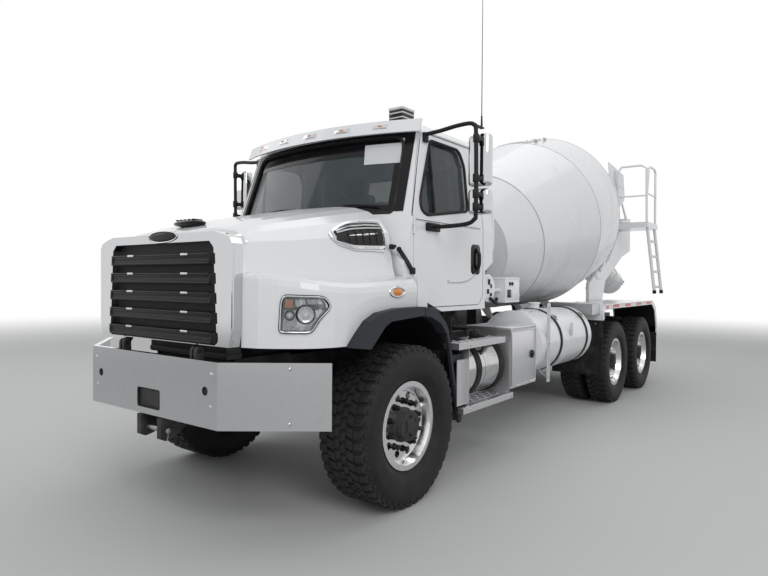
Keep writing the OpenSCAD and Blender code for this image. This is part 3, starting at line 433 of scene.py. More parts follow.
@dataclass(frozen=True)
class Metal(Finish):
    """Bare, polished or plated metal with fine lines along one axis and light smears."""

    colour: tuple[float, float, float] = (0.72, 0.72, 0.73)
    rough: float = 0.12
    lines: tuple[float, float, float] = (1.0, 1.0, 1.0)
    line_depth: float = 0.00005
    smear: float = 0.12
    dust: float = 0.1

    def make(self) -> bpy.types.Material:
        """Smears raise the roughness; dust dulls the lower parts."""
        m = Maker(self.name)
        _, _, z = m.axes()
        smear = m.noise(6.0, 5.0, 0.6).ramp(0.4, 0.75)
        fine = m.noise(350.0, 2.0, 0.5, self.lines)
        low = z.ramp(0.4, 1.4, 1.0, 0.15) * m.noise(12.0, 5.0, 0.65).ramp(0.45, 0.75) * self.dust
        return m.finish(Base_Color=m.blend(low, self.colour, (0.3, 0.28, 0.25)), Metallic=1.0 - low * 0.8,
                        Roughness=smear * self.smear + low * 0.4 + self.rough,
                        Normal=m.bump(fine, self.line_depth, 0.5))


@dataclass(frozen=True)
class SpunMetal(Finish):
    """Polished wheel metal with fine turned lines around an axle that lies along x."""

    y: float = 0.0
    z: float = 0.5

    def make(self) -> bpy.types.Material:
        """Turned lines come from the distance to the axle, brake dust from noise."""
        m = Maker(self.name)
        _, y, z = m.axes()
        dy, dz = y - self.y, z - self.z
        r = (dy * dy + dz * dz) ** 0.5
        lines = (r * 2600.0).wave() * 0.5 + (r * 4100.0).wave() * 0.5
        film = m.noise(14.0, 6.0, 0.65).ramp(0.5, 0.8)
        mask = film * 0.35
        return m.finish(Base_Color=m.blend(mask, (0.74, 0.74, 0.75), (0.33, 0.3, 0.27)),
                        Metallic=1.0 - mask * 0.7,
                        Roughness=mask * 0.5 + 0.15, Normal=m.bump(lines, 0.00003, 0.5))


@dataclass(frozen=True)
class TreadPlate(Finish):
    """Aluminium plate with raised lozenges that turn from cell to cell."""

    pitch: float = 0.046
    colour: tuple[float, float, float] = (0.56, 0.565, 0.57)

    def lozenges(self, u: Value, v: Value) -> Value:
        """Height of the pattern, from 0 to 1.

        Args:
            u: Place along the plate.
            v: Place across it.

        Returns:
            The height.
        """
        a, b = u / self.pitch, v / self.pitch
        swapped = (a.whole() + b.whole()).odd()
        p, q = a.part() - 0.5, b.part() - 0.5
        s, t = (p + q) * 0.7071, (p - q) * 0.7071
        lengthwise = s + swapped * (t - s)
        crosswise = t + swapped * (s - t)
        return ((lengthwise * lengthwise) / 0.2 + (crosswise * crosswise) / 0.016).ramp(0.45, 1.0, 1.0, 0.0)

    def make(self) -> bpy.types.Material:
        """The pattern follows whichever way the face looks. The ground between the raised lozenges is painted
        darker as shade, with grime mixed in.
        """
        m = Maker(self.name)
        x, y, z = m.axes()
        across, ahead, _ = m.facing()
        side, front = across > 0.6, ahead > 0.6
        u = y + front * (x - y)
        v = x + side * (z - x)
        v = v + front * (z - v)
        height = self.lozenges(u, v)
        grime = m.noise(7.0, 6.0, 0.62).ramp(0.42, 0.75) * 0.45
        # painted shade: the ground between the raised lozenges is darker than the lozenges, plus real grime
        # in patches
        painted_shade_and_grime = (1.0 - height) * 0.75 + grime
        scratch = m.noise(160.0, 3.0, 0.6, (1, 0.2, 1))
        return m.finish(Base_Color=m.blend(painted_shade_and_grime, self.colour, (0.16, 0.155, 0.15)),
                        Metallic=1.0 - grime * 0.6,
                        Roughness=grime * 0.5 + scratch * 0.1 + 0.2, Normal=m.bump(height, 0.0022, 0.9))


@dataclass(frozen=True)
class Glass(Finish):
    """Tinted glass: see-through, with a film of dust."""

    colour: tuple[float, float, float] = (0.05, 0.1, 0.1)
    alpha: float = 0.42
    rough: float = 0.03

    def make(self) -> bpy.types.Material:
        """Dust raises the alpha a little in streaks."""
        m = Maker(self.name)
        film = m.noise(8.0, 5.0, 0.6, (1, 1, 0.4)).ramp(0.45, 0.8)
        dusted = m.blend(film * 0.12, self.colour, (0.4, 0.42, 0.42))
        return m.finish(Base_Color=dusted, Roughness=film * 0.05 + self.rough, Alpha=film * 0.05 + self.alpha,
                        Normal=m.bump(m.noise(2.5, 1.0), 0.0008, 0.2))


@dataclass(frozen=True)
class Lens(Finish):
    """A lamp's coloured lens with moulded flutes."""

    colour: tuple[float, float, float] = (0.75, 0.22, 0.01)
    alpha: float = 1.0
    glow: float = 0.0
    pitch: float = 900.0

    def make(self) -> bpy.types.Material:
        """Flutes run across two ways; the colour deepens between them."""
        m = Maker(self.name)
        x, y, z = m.axes()
        flutes = ((x + y) * self.pitch).wave() * 0.5 + (z * self.pitch).wave() * 0.5
        deep = tuple(c * 0.55 for c in self.colour)
        return m.finish(Base_Color=m.blend(flutes.ramp(-0.6, 0.6) * 0.6, self.colour, deep), Roughness=0.14,
                        Alpha=self.alpha, Coat_Weight=0.5, Emission_Color=self.colour,
                        Emission_Strength=self.glow,
                        Normal=m.bump(flutes, 0.0006, 0.6))


@dataclass(frozen=True)
class Cloth(Finish):
    """Woven seat cloth."""

    colour: tuple[float, float, float] = (0.055, 0.056, 0.062)

    def make(self) -> bpy.types.Material:
        """A plain weave with fuzz."""
        m = Maker(self.name)
        x, y, z = m.axes()
        weave = (x * 2400.0).wave() * ((y + z) * 2400.0).wave()
        tone = m.noise(22.0, 4.0).ramp(0.3, 0.7)
        return m.finish(Base_Color=m.blend(weave.ramp(-0.7, 0.7) * 0.5 + tone * 0.3, self.colour,
                                           (0.13, 0.13, 0.14)),
                        Roughness=0.85, Normal=m.bump(weave, 0.0005, 0.7))


@dataclass(frozen=True)
class Tape(Finish):
    """Reflective tape in red and white lengths with a fine cell grid, along y."""

    length: float = 0.28

    def make(self) -> bpy.types.Material:
        """Lengths alternate; the cells are a fine grid on the bump and the tone."""
        m = Maker(self.name)
        _, y, z = m.axes()
        red = (y / self.length).odd()
        grid = ((y * 1500.0).wave() * (z * 1500.0).wave()).ramp(-0.5, 0.5)
        base = m.blend(red, (0.78, 0.78, 0.78), (0.6, 0.02, 0.015))
        worn = m.noise(30.0, 5.0).ramp(0.6, 0.8) * 0.4
        return m.finish(Base_Color=m.blend(worn + grid * 0.12, base, (0.4, 0.38, 0.35)), Roughness=0.3,
                        Normal=m.bump(grid, 0.0002, 0.5))


@dataclass(frozen=True)
class Mesh(Finish):
    """Dark woven wire behind a grille, seen as a fine grid."""

    pitch: float = 0.009
    colour: tuple[float, float, float] = (0.012, 0.012, 0.013)

    def make(self) -> bpy.types.Material:
        """Wires cross on the slant; between them it is darker."""
        m = Maker(self.name)
        x, y, z = m.axes()
        u, v = (x + y + z) / self.pitch, (x + y - z) / self.pitch
        wire = abs(u.part() - 0.5).at_least(abs(v.part() - 0.5)).ramp(0.34, 0.44)
        return m.finish(Base_Color=m.blend(wire, (0.002, 0.002, 0.002), tuple(c * 3 for c in self.colour)),
                        Roughness=0.5, Metallic=0.3, Normal=m.bump(wire, 0.0015, 0.8))


class Shop:
    """The finishes that the truck is dressed in."""

    WHITE = Paint("white_cab_paint")
    POST = Paint("white_and_black_paint", black_below=1.338)
    SEAM = Paint("drum_seam_paint", colour=(0.42, 0.43, 0.44), rough=0.4)
    DRUM = Paint("white_drum_paint", colour=(0.79, 0.8, 0.805), dirty=0.55, dust_top=4.5, rough=0.27)
    FRAME = Chassis("black_frame_paint")
    IRON = Chassis("dusty_castings", colour=(0.05, 0.048, 0.045), dust=(0.2, 0.17, 0.14), rough=0.6,
                   amount=0.75)
    GREY = Chassis("grey_engine_paint", colour=(0.09, 0.095, 0.1), amount=0.5)
    PLASTIC = Plastic("black_moulded_plastic", colour=(0.012, 0.012, 0.013))
    # near-black arch liner, also used for the sheets under the rear fenders that are partly painted shade
    LINER = Plastic("dark_arch_liner", colour=(0.006, 0.006, 0.006), rough=0.85, grain=300.0)
    SLATE = Plastic("slate_flare_plastic", colour=(0.03, 0.034, 0.04), rough=0.55)
    TRIM = Plastic("dark_cab_trim", colour=(0.045, 0.046, 0.05), rough=0.55, grain=500.0)
    CASE = Plastic("pale_lamp_case", colour=(0.62, 0.63, 0.64), rough=0.4)
    GLOSS = Plastic("gloss_black", colour=(0.008, 0.008, 0.009), rough=0.12, grain=200.0, depth=0.00003)
    RUBBER = Rubber("matt_rubber")
    CHROME = Metal("bright_plating", colour=(0.58, 0.59, 0.6), rough=0.05, smear=0.06, dust=0.12)
    ALLOY = Metal("polished_alloy", colour=(0.55, 0.555, 0.56), rough=0.16, lines=(1, 0.05, 1), dust=0.3)
    BARE = Metal("brushed_aluminium", colour=(0.55, 0.56, 0.57), rough=0.33, lines=(1, 0.04, 1),
                 line_depth=0.0002,
                 dust=0.6)
    STEEL = Metal("worn_steel", colour=(0.36, 0.35, 0.34), rough=0.3, smear=0.25, dust=0.5)
    MIRROR = Metal("mirror_glass", colour=(0.62, 0.64, 0.65), rough=0.01, smear=0.02, dust=0.0)
    PLATE = TreadPlate("tread_plate")
    SCREEN = Glass("windscreen_glass", colour=(0.045, 0.065, 0.072), alpha=0.5)
    CLEAR = Glass("clear_lamp_glass", colour=(0.55, 0.58, 0.6), alpha=0.22)
    AMBER = Lens("amber_lens", colour=(0.85, 0.26, 0.01))
    RED = Lens("red_lens", colour=(0.55, 0.012, 0.01))
    SIGHT = Plastic("pale_sight_tube", colour=(0.62, 0.64, 0.65), rough=0.25, grain=60.0)
    CARD = Plastic("blank_card", colour=(0.66, 0.68, 0.68), rough=0.8, grain=300.0)
    CLOTH = Cloth("seat_cloth")
    TAPE = Tape("reflective_tape")
    WIRE = Mesh("grille_wire")


class Form:
    """A mesh in the making, measured from the front axle's line.

    Shapes are added with bmesh operators, then it becomes a piece of the truck.
    """

    def __init__(self) -> None:
        """Starts with nothing in it."""
        self.bm = bmesh.new()

    def _bevel(self, verts: Iterable[bmesh.types.BMVert], width: float, segments: int = 2) -> None:
        """Rounds all the sharp edges between some vertices.

        Args:
            verts: The vertices.
            width: The radius; at 0 nothing is rounded.
            segments: Facets on each edge.
        """
        if width <= 0:
            return
        group = set(verts)
        edges = [e for e in {e for v in group for e in v.link_edges}
                 if e.verts[0] in group and e.verts[1] in group
                 and e.is_manifold and e.calc_face_angle(0.0) > 0.5]
        if edges:
            bmesh.ops.bevel(self.bm, geom=edges, offset=width, offset_type="OFFSET", affect="EDGES",
                            segments=segments, profile=0.5, material=-1, clamp_overlap=True)

    def block(self, low: Point, high: Point, bevel: float = 0.0, turn: Matrix | None = None,
              segments: int = 2) -> "Form":
        """Adds a box between two corners.

        Args:
            low: The lowest corner.
            high: The highest corner.
            bevel: The radius of its edges.
            turn: A turn about the box's own middle.
            segments: Facets on each rounded edge.

        Returns:
            The form, so that calls can be chained.
        """
        low, high = Vector(low), Vector(high)
        verts = bmesh.ops.create_cube(self.bm, size=1.0)["verts"]
        spin = turn.to_4x4() if turn else Matrix()
        matrix = Matrix.Translation((low + high) / 2) @ spin @ Matrix.Diagonal((*(high - low), 1.0))
        bmesh.ops.transform(self.bm, matrix=matrix, verts=verts)
        self._bevel(verts, bevel, segments)
        return self

    def rod(self, a: Point, b: Point, r: float, r_end: float | None = None, sides: int = 24,
            bevel: float = 0.0) -> "Form":
        """Adds a round or many-sided bar.

        Args:
            a: The middle of one end.
            b: The middle of the other end.
            r: Radius at a.
            r_end: Radius at b, where it differs.
            sides: Facets around.
            bevel: The radius of its edges.

        Returns:
            The form, so that calls can be chained.
        """
        a, b = Vector(a), Vector(b)
        way = b - a
        verts = bmesh.ops.create_cone(self.bm, cap_ends=True, segments=sides, radius1=r,
                                      radius2=r if r_end is None else r_end, depth=way.length)["verts"]
        turn = way.to_track_quat("Z", "Y").to_matrix().to_4x4()
        bmesh.ops.transform(self.bm, matrix=Matrix.Translation((a + b) / 2) @ turn, verts=verts)
        self._bevel(verts, bevel)
        return self

    def ball(self, middle: Point, r: float, flat: Point = (1, 1, 1), rings: int = 10) -> "Form":
        """Adds a ball.

        Args:
            middle: Its middle.
            r: Its radius.
            flat: Its scale along the axes.
            rings: Facets from pole to pole.

        Returns:
            The form, so that calls can be chained.
        """
        verts = bmesh.ops.create_uvsphere(self.bm, u_segments=rings * 2, v_segments=rings, radius=r)["verts"]
        bmesh.ops.transform(self.bm, matrix=Matrix.Translation(middle) @ Matrix.Diagonal((*flat, 1.0)),
                            verts=verts)
        return self

    def spun(self, profile: Sequence[Point], middle: Point, axis: Point, steps: int = 48,
             closed: bool = False) -> "Form":
        """Spins a profile right round an axis.

        Args:
            profile: Points as (distance along the axis, radius).
            middle: Where the axis starts.
            axis: Its direction.
            steps: Facets around.
            closed: Whether the profile's last point joins its first.

        Returns:
            The form.
        """
        axis = Vector(axis).normalized()
        side = axis.orthogonal().normalized()
        verts = [self.bm.verts.new(Vector(middle) + axis * p[0] + side * p[1]) for p in profile]
        pairs = list(zip(verts, verts[1:] + verts[:1])) if closed else list(zip(verts, verts[1:]))
        edges = [self.bm.edges.new(p) for p in pairs]
        known = set(self.bm.verts) - set(verts)
        bmesh.ops.spin(self.bm, geom=verts + edges, cent=Vector(middle), axis=axis, dvec=(0, 0, 0),
                       angle=tau, steps=steps, use_merge=True, use_duplicate=False)
        fresh = [v for v in self.bm.verts if v not in known]
        bmesh.ops.remove_doubles(self.bm, verts=fresh, dist=1e-5)
        fresh = [v for v in self.bm.verts if v not in known]
        faces = {f for v in fresh for f in v.link_faces}
        bmesh.ops.recalc_face_normals(self.bm, faces=list(faces))
        return self

    def sheet(self, outline: Sequence[Point], depth: Point, bevel: float = 0.0) -> "Form":
        """Extrudes a flat outline into a plate.

        Args:
            outline: Corner points in space, all in one plane.
            depth: How far and which way it is extruded.
            bevel: The radius of its edges.

        Returns:
            The form.
        """
        verts = [self.bm.verts.new(Vector(p)) for p in outline]
        face = self.bm.faces.new(verts)
        more = bmesh.ops.extrude_face_region(self.bm, geom=[face])["geom"]
        moved = [v for v in more if isinstance(v, bmesh.types.BMVert)]
        bmesh.ops.translate(self.bm, vec=Vector(depth), verts=moved)
        bmesh.ops.recalc_face_normals(self.bm, faces=list({f for v in verts + moved for f in v.link_faces}))
        self._bevel(verts + moved, bevel)
        return self

    def patch(self, nu: int, nv: int, place: Callable[[float, float], Point], thickness: float) -> "Form":
        """Adds a curved plate.

        Args:
            nu: Cells along it.
            nv: Cells across it.
            place: Gives a point in space for two shares from 0 to 1.
            thickness: Its thickness, against its faces' side.

        Returns:
            The form.
        """
        verts = bmesh.ops.create_grid(self.bm, x_segments=nu, y_segments=nv, size=1.0)["verts"]
        for v in verts:
            v.co = Vector(place((v.co.x + 1) / 2, (v.co.y + 1) / 2))
        faces = list({f for v in verts for f in v.link_faces})
        made = bmesh.ops.solidify(self.bm, geom=faces, thickness=thickness)["geom"]
        everything = {f for v in verts for f in v.link_faces} | {g for g in made
                                                                 if isinstance(g, bmesh.types.BMFace)}
        bmesh.ops.recalc_face_normals(self.bm, faces=list(everything))
        return self

    def band(self, span: Point, radii: Point, middle: Point, axis: Point, steps: int = 48) -> "Form":
        """Adds a flat ring from span[0] to span[1] along an axis, between two radii."""
        (a, b), (low, high) = span, radii
        return self.spun([(a, low), (a, high), (b, high), (b, low)], middle, axis, steps, True)

    def around(self, count: int, middle: Point, axis: Point) -> "Form":
        """Repeats everything made so far evenly round an axis.

        Args:
            count: How many there are in the end.
            middle: A point of the axis.
            axis: Its direction.

        Returns:
            The form, so that calls can be chained.
        """
        geom = self.bm.verts[:] + self.bm.edges[:] + self.bm.faces[:]
        bmesh.ops.spin(self.bm, geom=geom, cent=Vector(middle), axis=Vector(axis), dvec=(0, 0, 0),
                       angle=tau * (count - 1) / count, steps=count - 1, use_merge=False, use_duplicate=True)
        return self

    def joined(self, other: "Form") -> "Form":
        """Takes over another form's shapes, which ends that form.

        Args:
            other: The other form.

        Returns:
            The form, so that calls can be chained.
        """
        mesh = bpy.data.meshes.new("joined")
        other.bm.to_mesh(mesh)
        other.bm.free()
        self.bm.from_mesh(mesh)
        bpy.data.meshes.remove(mesh)
        return self

    def pipe(self, path: Sequence[Point], r: float, sides: int = 10, loop: bool = False) -> "Form":
        """Carries a round section along a path, with closed ends.

        Args:
            path: The points it goes through.
            r: Its radius.
            sides: Facets around.
            loop: Whether it goes right round, without ends.

        Returns:
            The form, so that calls can be chained.
        """
        path = [Vector(p) for p in path]
        last = len(path) - 1
        if loop:
            return self._ring(path, r, sides)
        start = bmesh.ops.create_circle(self.bm, cap_ends=False, segments=sides, radius=r)["verts"]
        ring, frame_now, edges = start, Matrix(), list({e for v in start for e in v.link_edges})
        first_edges = edges
        quat = (path[1] - path[0]).to_track_quat("Z", "Y")
        for i, p in enumerate(path):
            way = (path[min(i + 1, last)] - path[max(i - 1, 0)]).normalized()
            if i:
                quat = (quat @ Vector((0, 0, 1))).rotation_difference(way) @ quat
            target = Matrix.Translation(p) @ quat.to_matrix().to_4x4()
            if i:
                geom = bmesh.ops.extrude_edge_only(self.bm, edges=edges)["geom"]
                ring = [g for g in geom if isinstance(g, bmesh.types.BMVert)]
                edges = [g for g in geom if isinstance(g, bmesh.types.BMEdge)]
            bmesh.ops.transform(self.bm, matrix=target @ frame_now.inverted(), verts=ring)
            frame_now = target
        bmesh.ops.edgenet_fill(self.bm, edges=first_edges)
        bmesh.ops.edgenet_fill(self.bm, edges=edges)
        return self

    def _ring(self, path: Sequence[Vector], r: float, sides: int) -> "Form":
        """Carries a round section right round a closed path.

        Args:
            path: The points it goes through.
            r: Its radius.
            sides: Facets around.

        Returns:
            The form, so that calls can be chained.
        """
        count = len(path)
        middle = sum(path, Vector()) / count
        rings = []
        for i, p in enumerate(path):
            way = (path[(i + 1) % count] - path[i - 1]).normalized()
            out = (p - middle) - way * (p - middle).dot(way)
            out.normalize()
            turn = Matrix((out, way.cross(out), way)).transposed().to_4x4()
            verts = bmesh.ops.create_circle(self.bm, cap_ends=False, segments=sides, radius=r)["verts"]
            bmesh.ops.transform(self.bm, matrix=Matrix.Translation(p) @ turn, verts=verts)
            rings.append(list({e for v in verts for e in v.link_edges}))
        for i in range(count):
            bmesh.ops.bridge_loops(self.bm, edges=rings[i] + rings[(i + 1) % count])
        bmesh.ops.recalc_face_normals(self.bm,
                                      faces=list({f for ring in rings for e in ring for f in e.link_faces}))
        return self

    def bolts(self, places: Iterable[Point], axis: Point, r: float = 0.012, height: float = 0.009) -> "Form":
        """Adds hexagon bolt heads on washers.

        Args:
            places: Where they stand on a surface.
            axis: The way they point.
            r: Radius of the head.
            height: Height of the head.

        Returns:
            The form, so that calls can be chained.
        """
        way = Vector(axis).normalized()
        for p in places:
            p = Vector(p)
            self.rod(p - way * 0.002, p + way * height * 0.25, r * 1.25, sides=16)
            self.rod(p, p + way * height, r, sides=6, bevel=r * 0.08)
        return self

    def mirrored(self) -> "Form":
        """Adds the same shapes again on the other side of x = 0."""
        geom = self.bm.verts[:] + self.bm.edges[:] + self.bm.faces[:]
        copied = bmesh.ops.duplicate(self.bm, geom=geom)["geom"]
        bmesh.ops.scale(self.bm, vec=(-1, 1, 1), verts=[g for g in copied
                                                        if isinstance(g, bmesh.types.BMVert)])
        bmesh.ops.reverse_faces(self.bm, faces=[g for g in copied if isinstance(g, bmesh.types.BMFace)])
        return self

    def flipped(self, side: Side) -> "Form":
        """Moves all the shapes, which are built on the left, over to a side of x = 0.

        Args:
            side: The side of the truck.

        Returns:
            The form, so that calls can be chained.
        """
        if side is Side.RIGHT:
            bmesh.ops.scale(self.bm, vec=(-1, 1, 1), verts=self.bm.verts[:])
            bmesh.ops.reverse_faces(self.bm, faces=self.bm.faces[:])
        return self

    def sided(self, side: Side, name: str, finish: Finish, body: str = "chassis",
              replaces: Sequence[str] = ()) -> None:
        """Ends the making on one side of the truck, with the side's word behind the piece's name."""
        self.flipped(side).piece(f"{name}_{side.word}", finish, body, replaces)

    def piece(self, name: str, finish: Finish, body: str = "chassis", replaces: Sequence[str] = (),
              smooth: float = 35.0) -> bpy.types.Object:
        """Ends the making and puts the piece on the truck.

        Args:
            name: The piece's name.
            finish: What it is finished in.
            body: The CAD body that it moves with.
            replaces: CAD nodes that it stands for.
            smooth: The sharpest angle in degrees that still looks smooth.

        Returns:
            The object.
        """
        bmesh.ops.translate(self.bm, vec=(0, AXLE_Y, 0), verts=self.bm.verts[:])
        mesh = bpy.data.meshes.new(name)
        self.bm.to_mesh(mesh)
        self.bm.free()
        for polygon in mesh.polygons:
            polygon.use_smooth = True
        mesh.set_sharp_from_angle(angle=radians(smooth))
        obj = bpy.data.objects.new(name, mesh)
        bpy.context.scene.collection.objects.link(obj)
        mesh.materials.append(finish.material())
        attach(obj, body)
        if replaces:
            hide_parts(*replaces)
        log.info("%s: %d faces", name, len(mesh.polygons))
        return obj


class Dressing:
    """Gives every CAD node that stays in sight its finish."""

    def finishes(self) -> dict[str, Finish]:
        """The finish of each CAD node by name."""
        s = Shop
        groups = {
            s.FRAME: "frame_rails tow_bracket front_axle rear_suspension lamps tie_rod",
            s.IRON: "drive_axles knuckle_left knuckle_right",
            s.GREY: "engine",
            s.WHITE: "cab_shell sun_visor water_tank rear_fenders rear_pedestal ladder hood "
                     "door_left door_right",
            s.POST: "drum_drive control_box",
            s.DRUM: "drum charge_hopper collector chute_main chute_fold",
            s.SCREEN: "cab_glass window_left window_right",
            s.TRIM: "dashboard", s.CLOTH: "seats", s.ALLOY: "fuel_tank", s.BARE: "deck",
            s.STEEL: "chute_swivel",
            s.CHROME: "front_bumper hood_trim", s.CLEAR: "headlamps", s.RUBBER: "tank_straps mud_flaps",
            s.PLATE: "side_steps toolbox battery_box exhaust_box",
            s.SLATE: "cab_flares hood_flares", s.PLASTIC: "grille mirror_left mirror_right",
        }
        table = {name: finish for finish, names in groups.items() for name in names.split()}
        rows = [("front_wheel", "front_tyre", "front_wheel_metal", "front_tyre_rubber", 0.0, FRONT_TYRE)]
        for n, y in enumerate(REAR_AXLES, 1):
            words = (f"{word}_{n}" for word in ("rear_wheels", "rear_tyres", "rear_wheel_metal",
                                                "rear_tyre_rubber"))
            rows.append((*words, y, REAR_TYRE))
        for wheel, tyre, metal, rubber, y, r in rows:
            for side in Side:
                table[f"{wheel}_{side.word}"] = SpunMetal(metal, y=AXLE_Y + y, z=r)
                table[f"{tyre}_{side.word}"] = TyreRubber(rubber, y=AXLE_Y + y, z=r, radius=r)
        return table

    def build(self) -> None:
        """Puts the materials on the nodes."""
        for name, finish in self.finishes().items():
            mesh = frame["nodes"][name].data
            mesh.materials.clear()
            mesh.materials.append(finish.material())


@dataclass
class Studio:
    """The camera at the photograph's place, soft lamps and a pale floor."""

    eye: tuple[float, float, float] = (3.499, -3.445, 1.569)
    yaw: float = 0.645
    pitch: float = -0.012
    roll: float = 0.007
    focal: float = 601.1
    width: float = 768.0

    def camera(self) -> None:
        """Puts the camera where the photograph was taken."""
        forward = Vector((-sin(self.yaw) * cos(self.pitch), cos(self.yaw) * cos(self.pitch),
                          sin(self.pitch)))
        right = Vector((cos(self.yaw), sin(self.yaw), 0.0))
        up = right.cross(forward)
        c, s = cos(self.roll), sin(self.roll)
        right, up = c * right + s * up, c * up - s * right
        data = bpy.data.cameras.new("camera")
        data.lens, data.sensor_width = self.focal * 36.0 / self.width, 36.0
        data.clip_end = 300.0
        obj = bpy.data.objects.new("camera", data)
        matrix = Matrix((right, up, -forward)).transposed().to_4x4()
        matrix.translation = at(*self.eye)
        obj.matrix_world = matrix
        bpy.context.scene.collection.objects.link(obj)
        bpy.context.scene.camera = obj

    def lamp(self, name: str, place: Point, aim: Point, size: float, power: float) -> None:
        """Adds a soft square lamp.

        Args:
            name: Its name.
            place: Where it stands.
            aim: Where it points.
            size: Its side.
            power: Its power in watts.
        """
        data = bpy.data.lights.new(name, "AREA")
        data.size, data.energy = size, power
        obj = bpy.data.objects.new(name, data)
        obj.location = Vector(place)
        obj.rotation_euler = (Vector(aim) - Vector(place)).to_track_quat("-Z", "Y").to_euler()
        bpy.context.scene.collection.objects.link(obj)

    def floor(self) -> None:
        """A pale floor that goes to white far from the truck for the camera and for reflections."""
        form = Form()
        bmesh.ops.create_grid(form.bm, x_segments=4, y_segments=4, size=60.0)
        mesh = bpy.data.meshes.new("floor")
        form.bm.to_mesh(mesh)
        form.bm.free()
        obj = bpy.data.objects.new("floor", mesh)
        bpy.context.scene.collection.objects.link(obj)
        m = Maker("pale_floor")
        x, y, _ = m.axes()
        far = (x * x + y * y) ** 0.5
        tone = m.noise(1.2, 4.0) * 0.03 + m.noise(40.0, 3.0) * 0.03
        m.finish(Base_Color=m.blend(tone, (0.62, 0.62, 0.61), (0.5, 0.5, 0.49)), Roughness=0.75)
        glow = m.value("ShaderNodeEmission", None, {"Color": (1.0, 1.0, 1.0), "Strength": 1.0})
        own = Value(m, m.shader.outputs[0])
        m.feed(m.output.inputs["Surface"], m.value("ShaderNodeMixShader", None,
                                                   {0: far.ramp(9.0, 24.0), 1: own, 2: glow}))
        mesh.materials.append(m.material)

    def world(self) -> None:
        """Soft light all round, white where the camera, a mirror or glass looks at it."""
        world = bpy.data.worlds.new("studio")
        bpy.context.scene.world = world
        world.use_nodes = True
        world.node_tree.nodes.clear()
        n = Nodes(world.node_tree)
        path = n.node("ShaderNodeLightPath")
        words = ("Camera", "Glossy", "Transmission")
        seen, glossy, through = (Value(n, path.outputs[f"Is {word} Ray"]) for word in words)
        soft = n.value("ShaderNodeBackground", None, {"Color": (0.93, 0.96, 1.0), "Strength": 0.43})
        white = n.value("ShaderNodeBackground", None, {"Color": (1.0, 1.0, 1.0), "Strength": 1.0})
        mix = n.value("ShaderNodeMixShader", None,
                      {0: (seen + glossy + through).at_most(1.0), 1: soft, 2: white})
        n.node("ShaderNodeOutputWorld", None, {"Surface": mix})

    def build(self) -> None:
        """Sets up the camera, the light and the floor."""
        self.camera()
        self.world()
        self.floor()
        self.lamp("key", (9.0, -10.0, 9.0), (0, 0, 1.5), 7.0, 600.0)
        self.lamp("fill", (-9.0, -6.0, 7.0), (0, 0, 1.5), 7.0, 150.0)
        self.lamp("top", (0.0, 1.0, 10.0), (0, 0, 0), 9.0, 220.0)
        bpy.context.scene.view_settings.view_transform = "Standard"


def cab_side(z: float) -> float:
    """Half width of the cab at a height."""
    return 1.005 - max(0.0, z - 2.01) * 0.075 / 0.72


def screen(x: float, z: float, out: float = 0.0) -> Vector:
    """A place on the face of the cab's front.

    Args:
        x: Place across.
        z: Height.
        out: Distance ahead of the face.

    Returns:
        The place.
    """
    lean = radians(20)
    y = 0.011 + (z - 2.038) * tan(lean) + (2.6 - sqrt(2.6 ** 2 - x * x) - out) / cos(lean)
    return Vector((x, y, z))


def smooth_line(points: Sequence[Point], steps: int = 4) -> list[Vector]:
    """A Catmull-Rom line through points.

    Args:
        points: The points.
        steps: Parts between two points.

    Returns:
        The line's points.
    """
    pts = [Vector(p) for p in points]
    line: list[Vector] = []
    for i in range(len(pts) - 1):
        a, b, c, d = pts[max(i - 1, 0)], pts[i], pts[i + 1], pts[min(i + 2, len(pts) - 1)]
        for k in range(steps):
            t = k / steps
            line.append(0.5 * (2 * b + (c - a) * t + (2 * a - 5 * b + 4 * c - d) * t * t
                               + (3 * b - a - 3 * c + d) * t ** 3))
    return line + [pts[-1]]


def oval(middle: Point, a: Point, b: Point, count: int) -> list[Vector]:
    """Points round an oval that starts along a and turns towards b."""
    middle, a, b = Vector(middle), Vector(a), Vector(b)
    return [middle + a * cos(t) + b * sin(t) for t in (k * tau / count for k in range(count))]


def turned(degrees: float, axis: str) -> Matrix:
    """A turn about one of the axes."""
    return Matrix.Rotation(radians(degrees), 3, axis)


def along(line: Sequence[Point], share: float) -> Point:
    """The point of a line at a share of its points."""
    return line[round(share * (len(line) - 1))]


def rounded(points: Sequence[Point], r: float, steps: int = 4) -> list[Vector]:
    """A closed outline with its corners rounded.

    Args:
        points: The corners.
        r: The radius, less where a side is short.
        steps: Parts of each corner.

    Returns:
        The outline's points.
    """
    pts = [Vector(p) for p in points]
    out: list[Vector] = []
    for i, p in enumerate(pts):
        a, b = pts[i - 1] - p, pts[(i + 1) % len(pts)] - p
        cut = min(r, a.length * 0.45, b.length * 0.45)
        start, end = p + a.normalized() * cut, p + b.normalized() * cut
        out += [start.lerp(p, t).lerp(p.lerp(end, t), t) for t in (k / steps for k in range(steps + 1))]
    return out


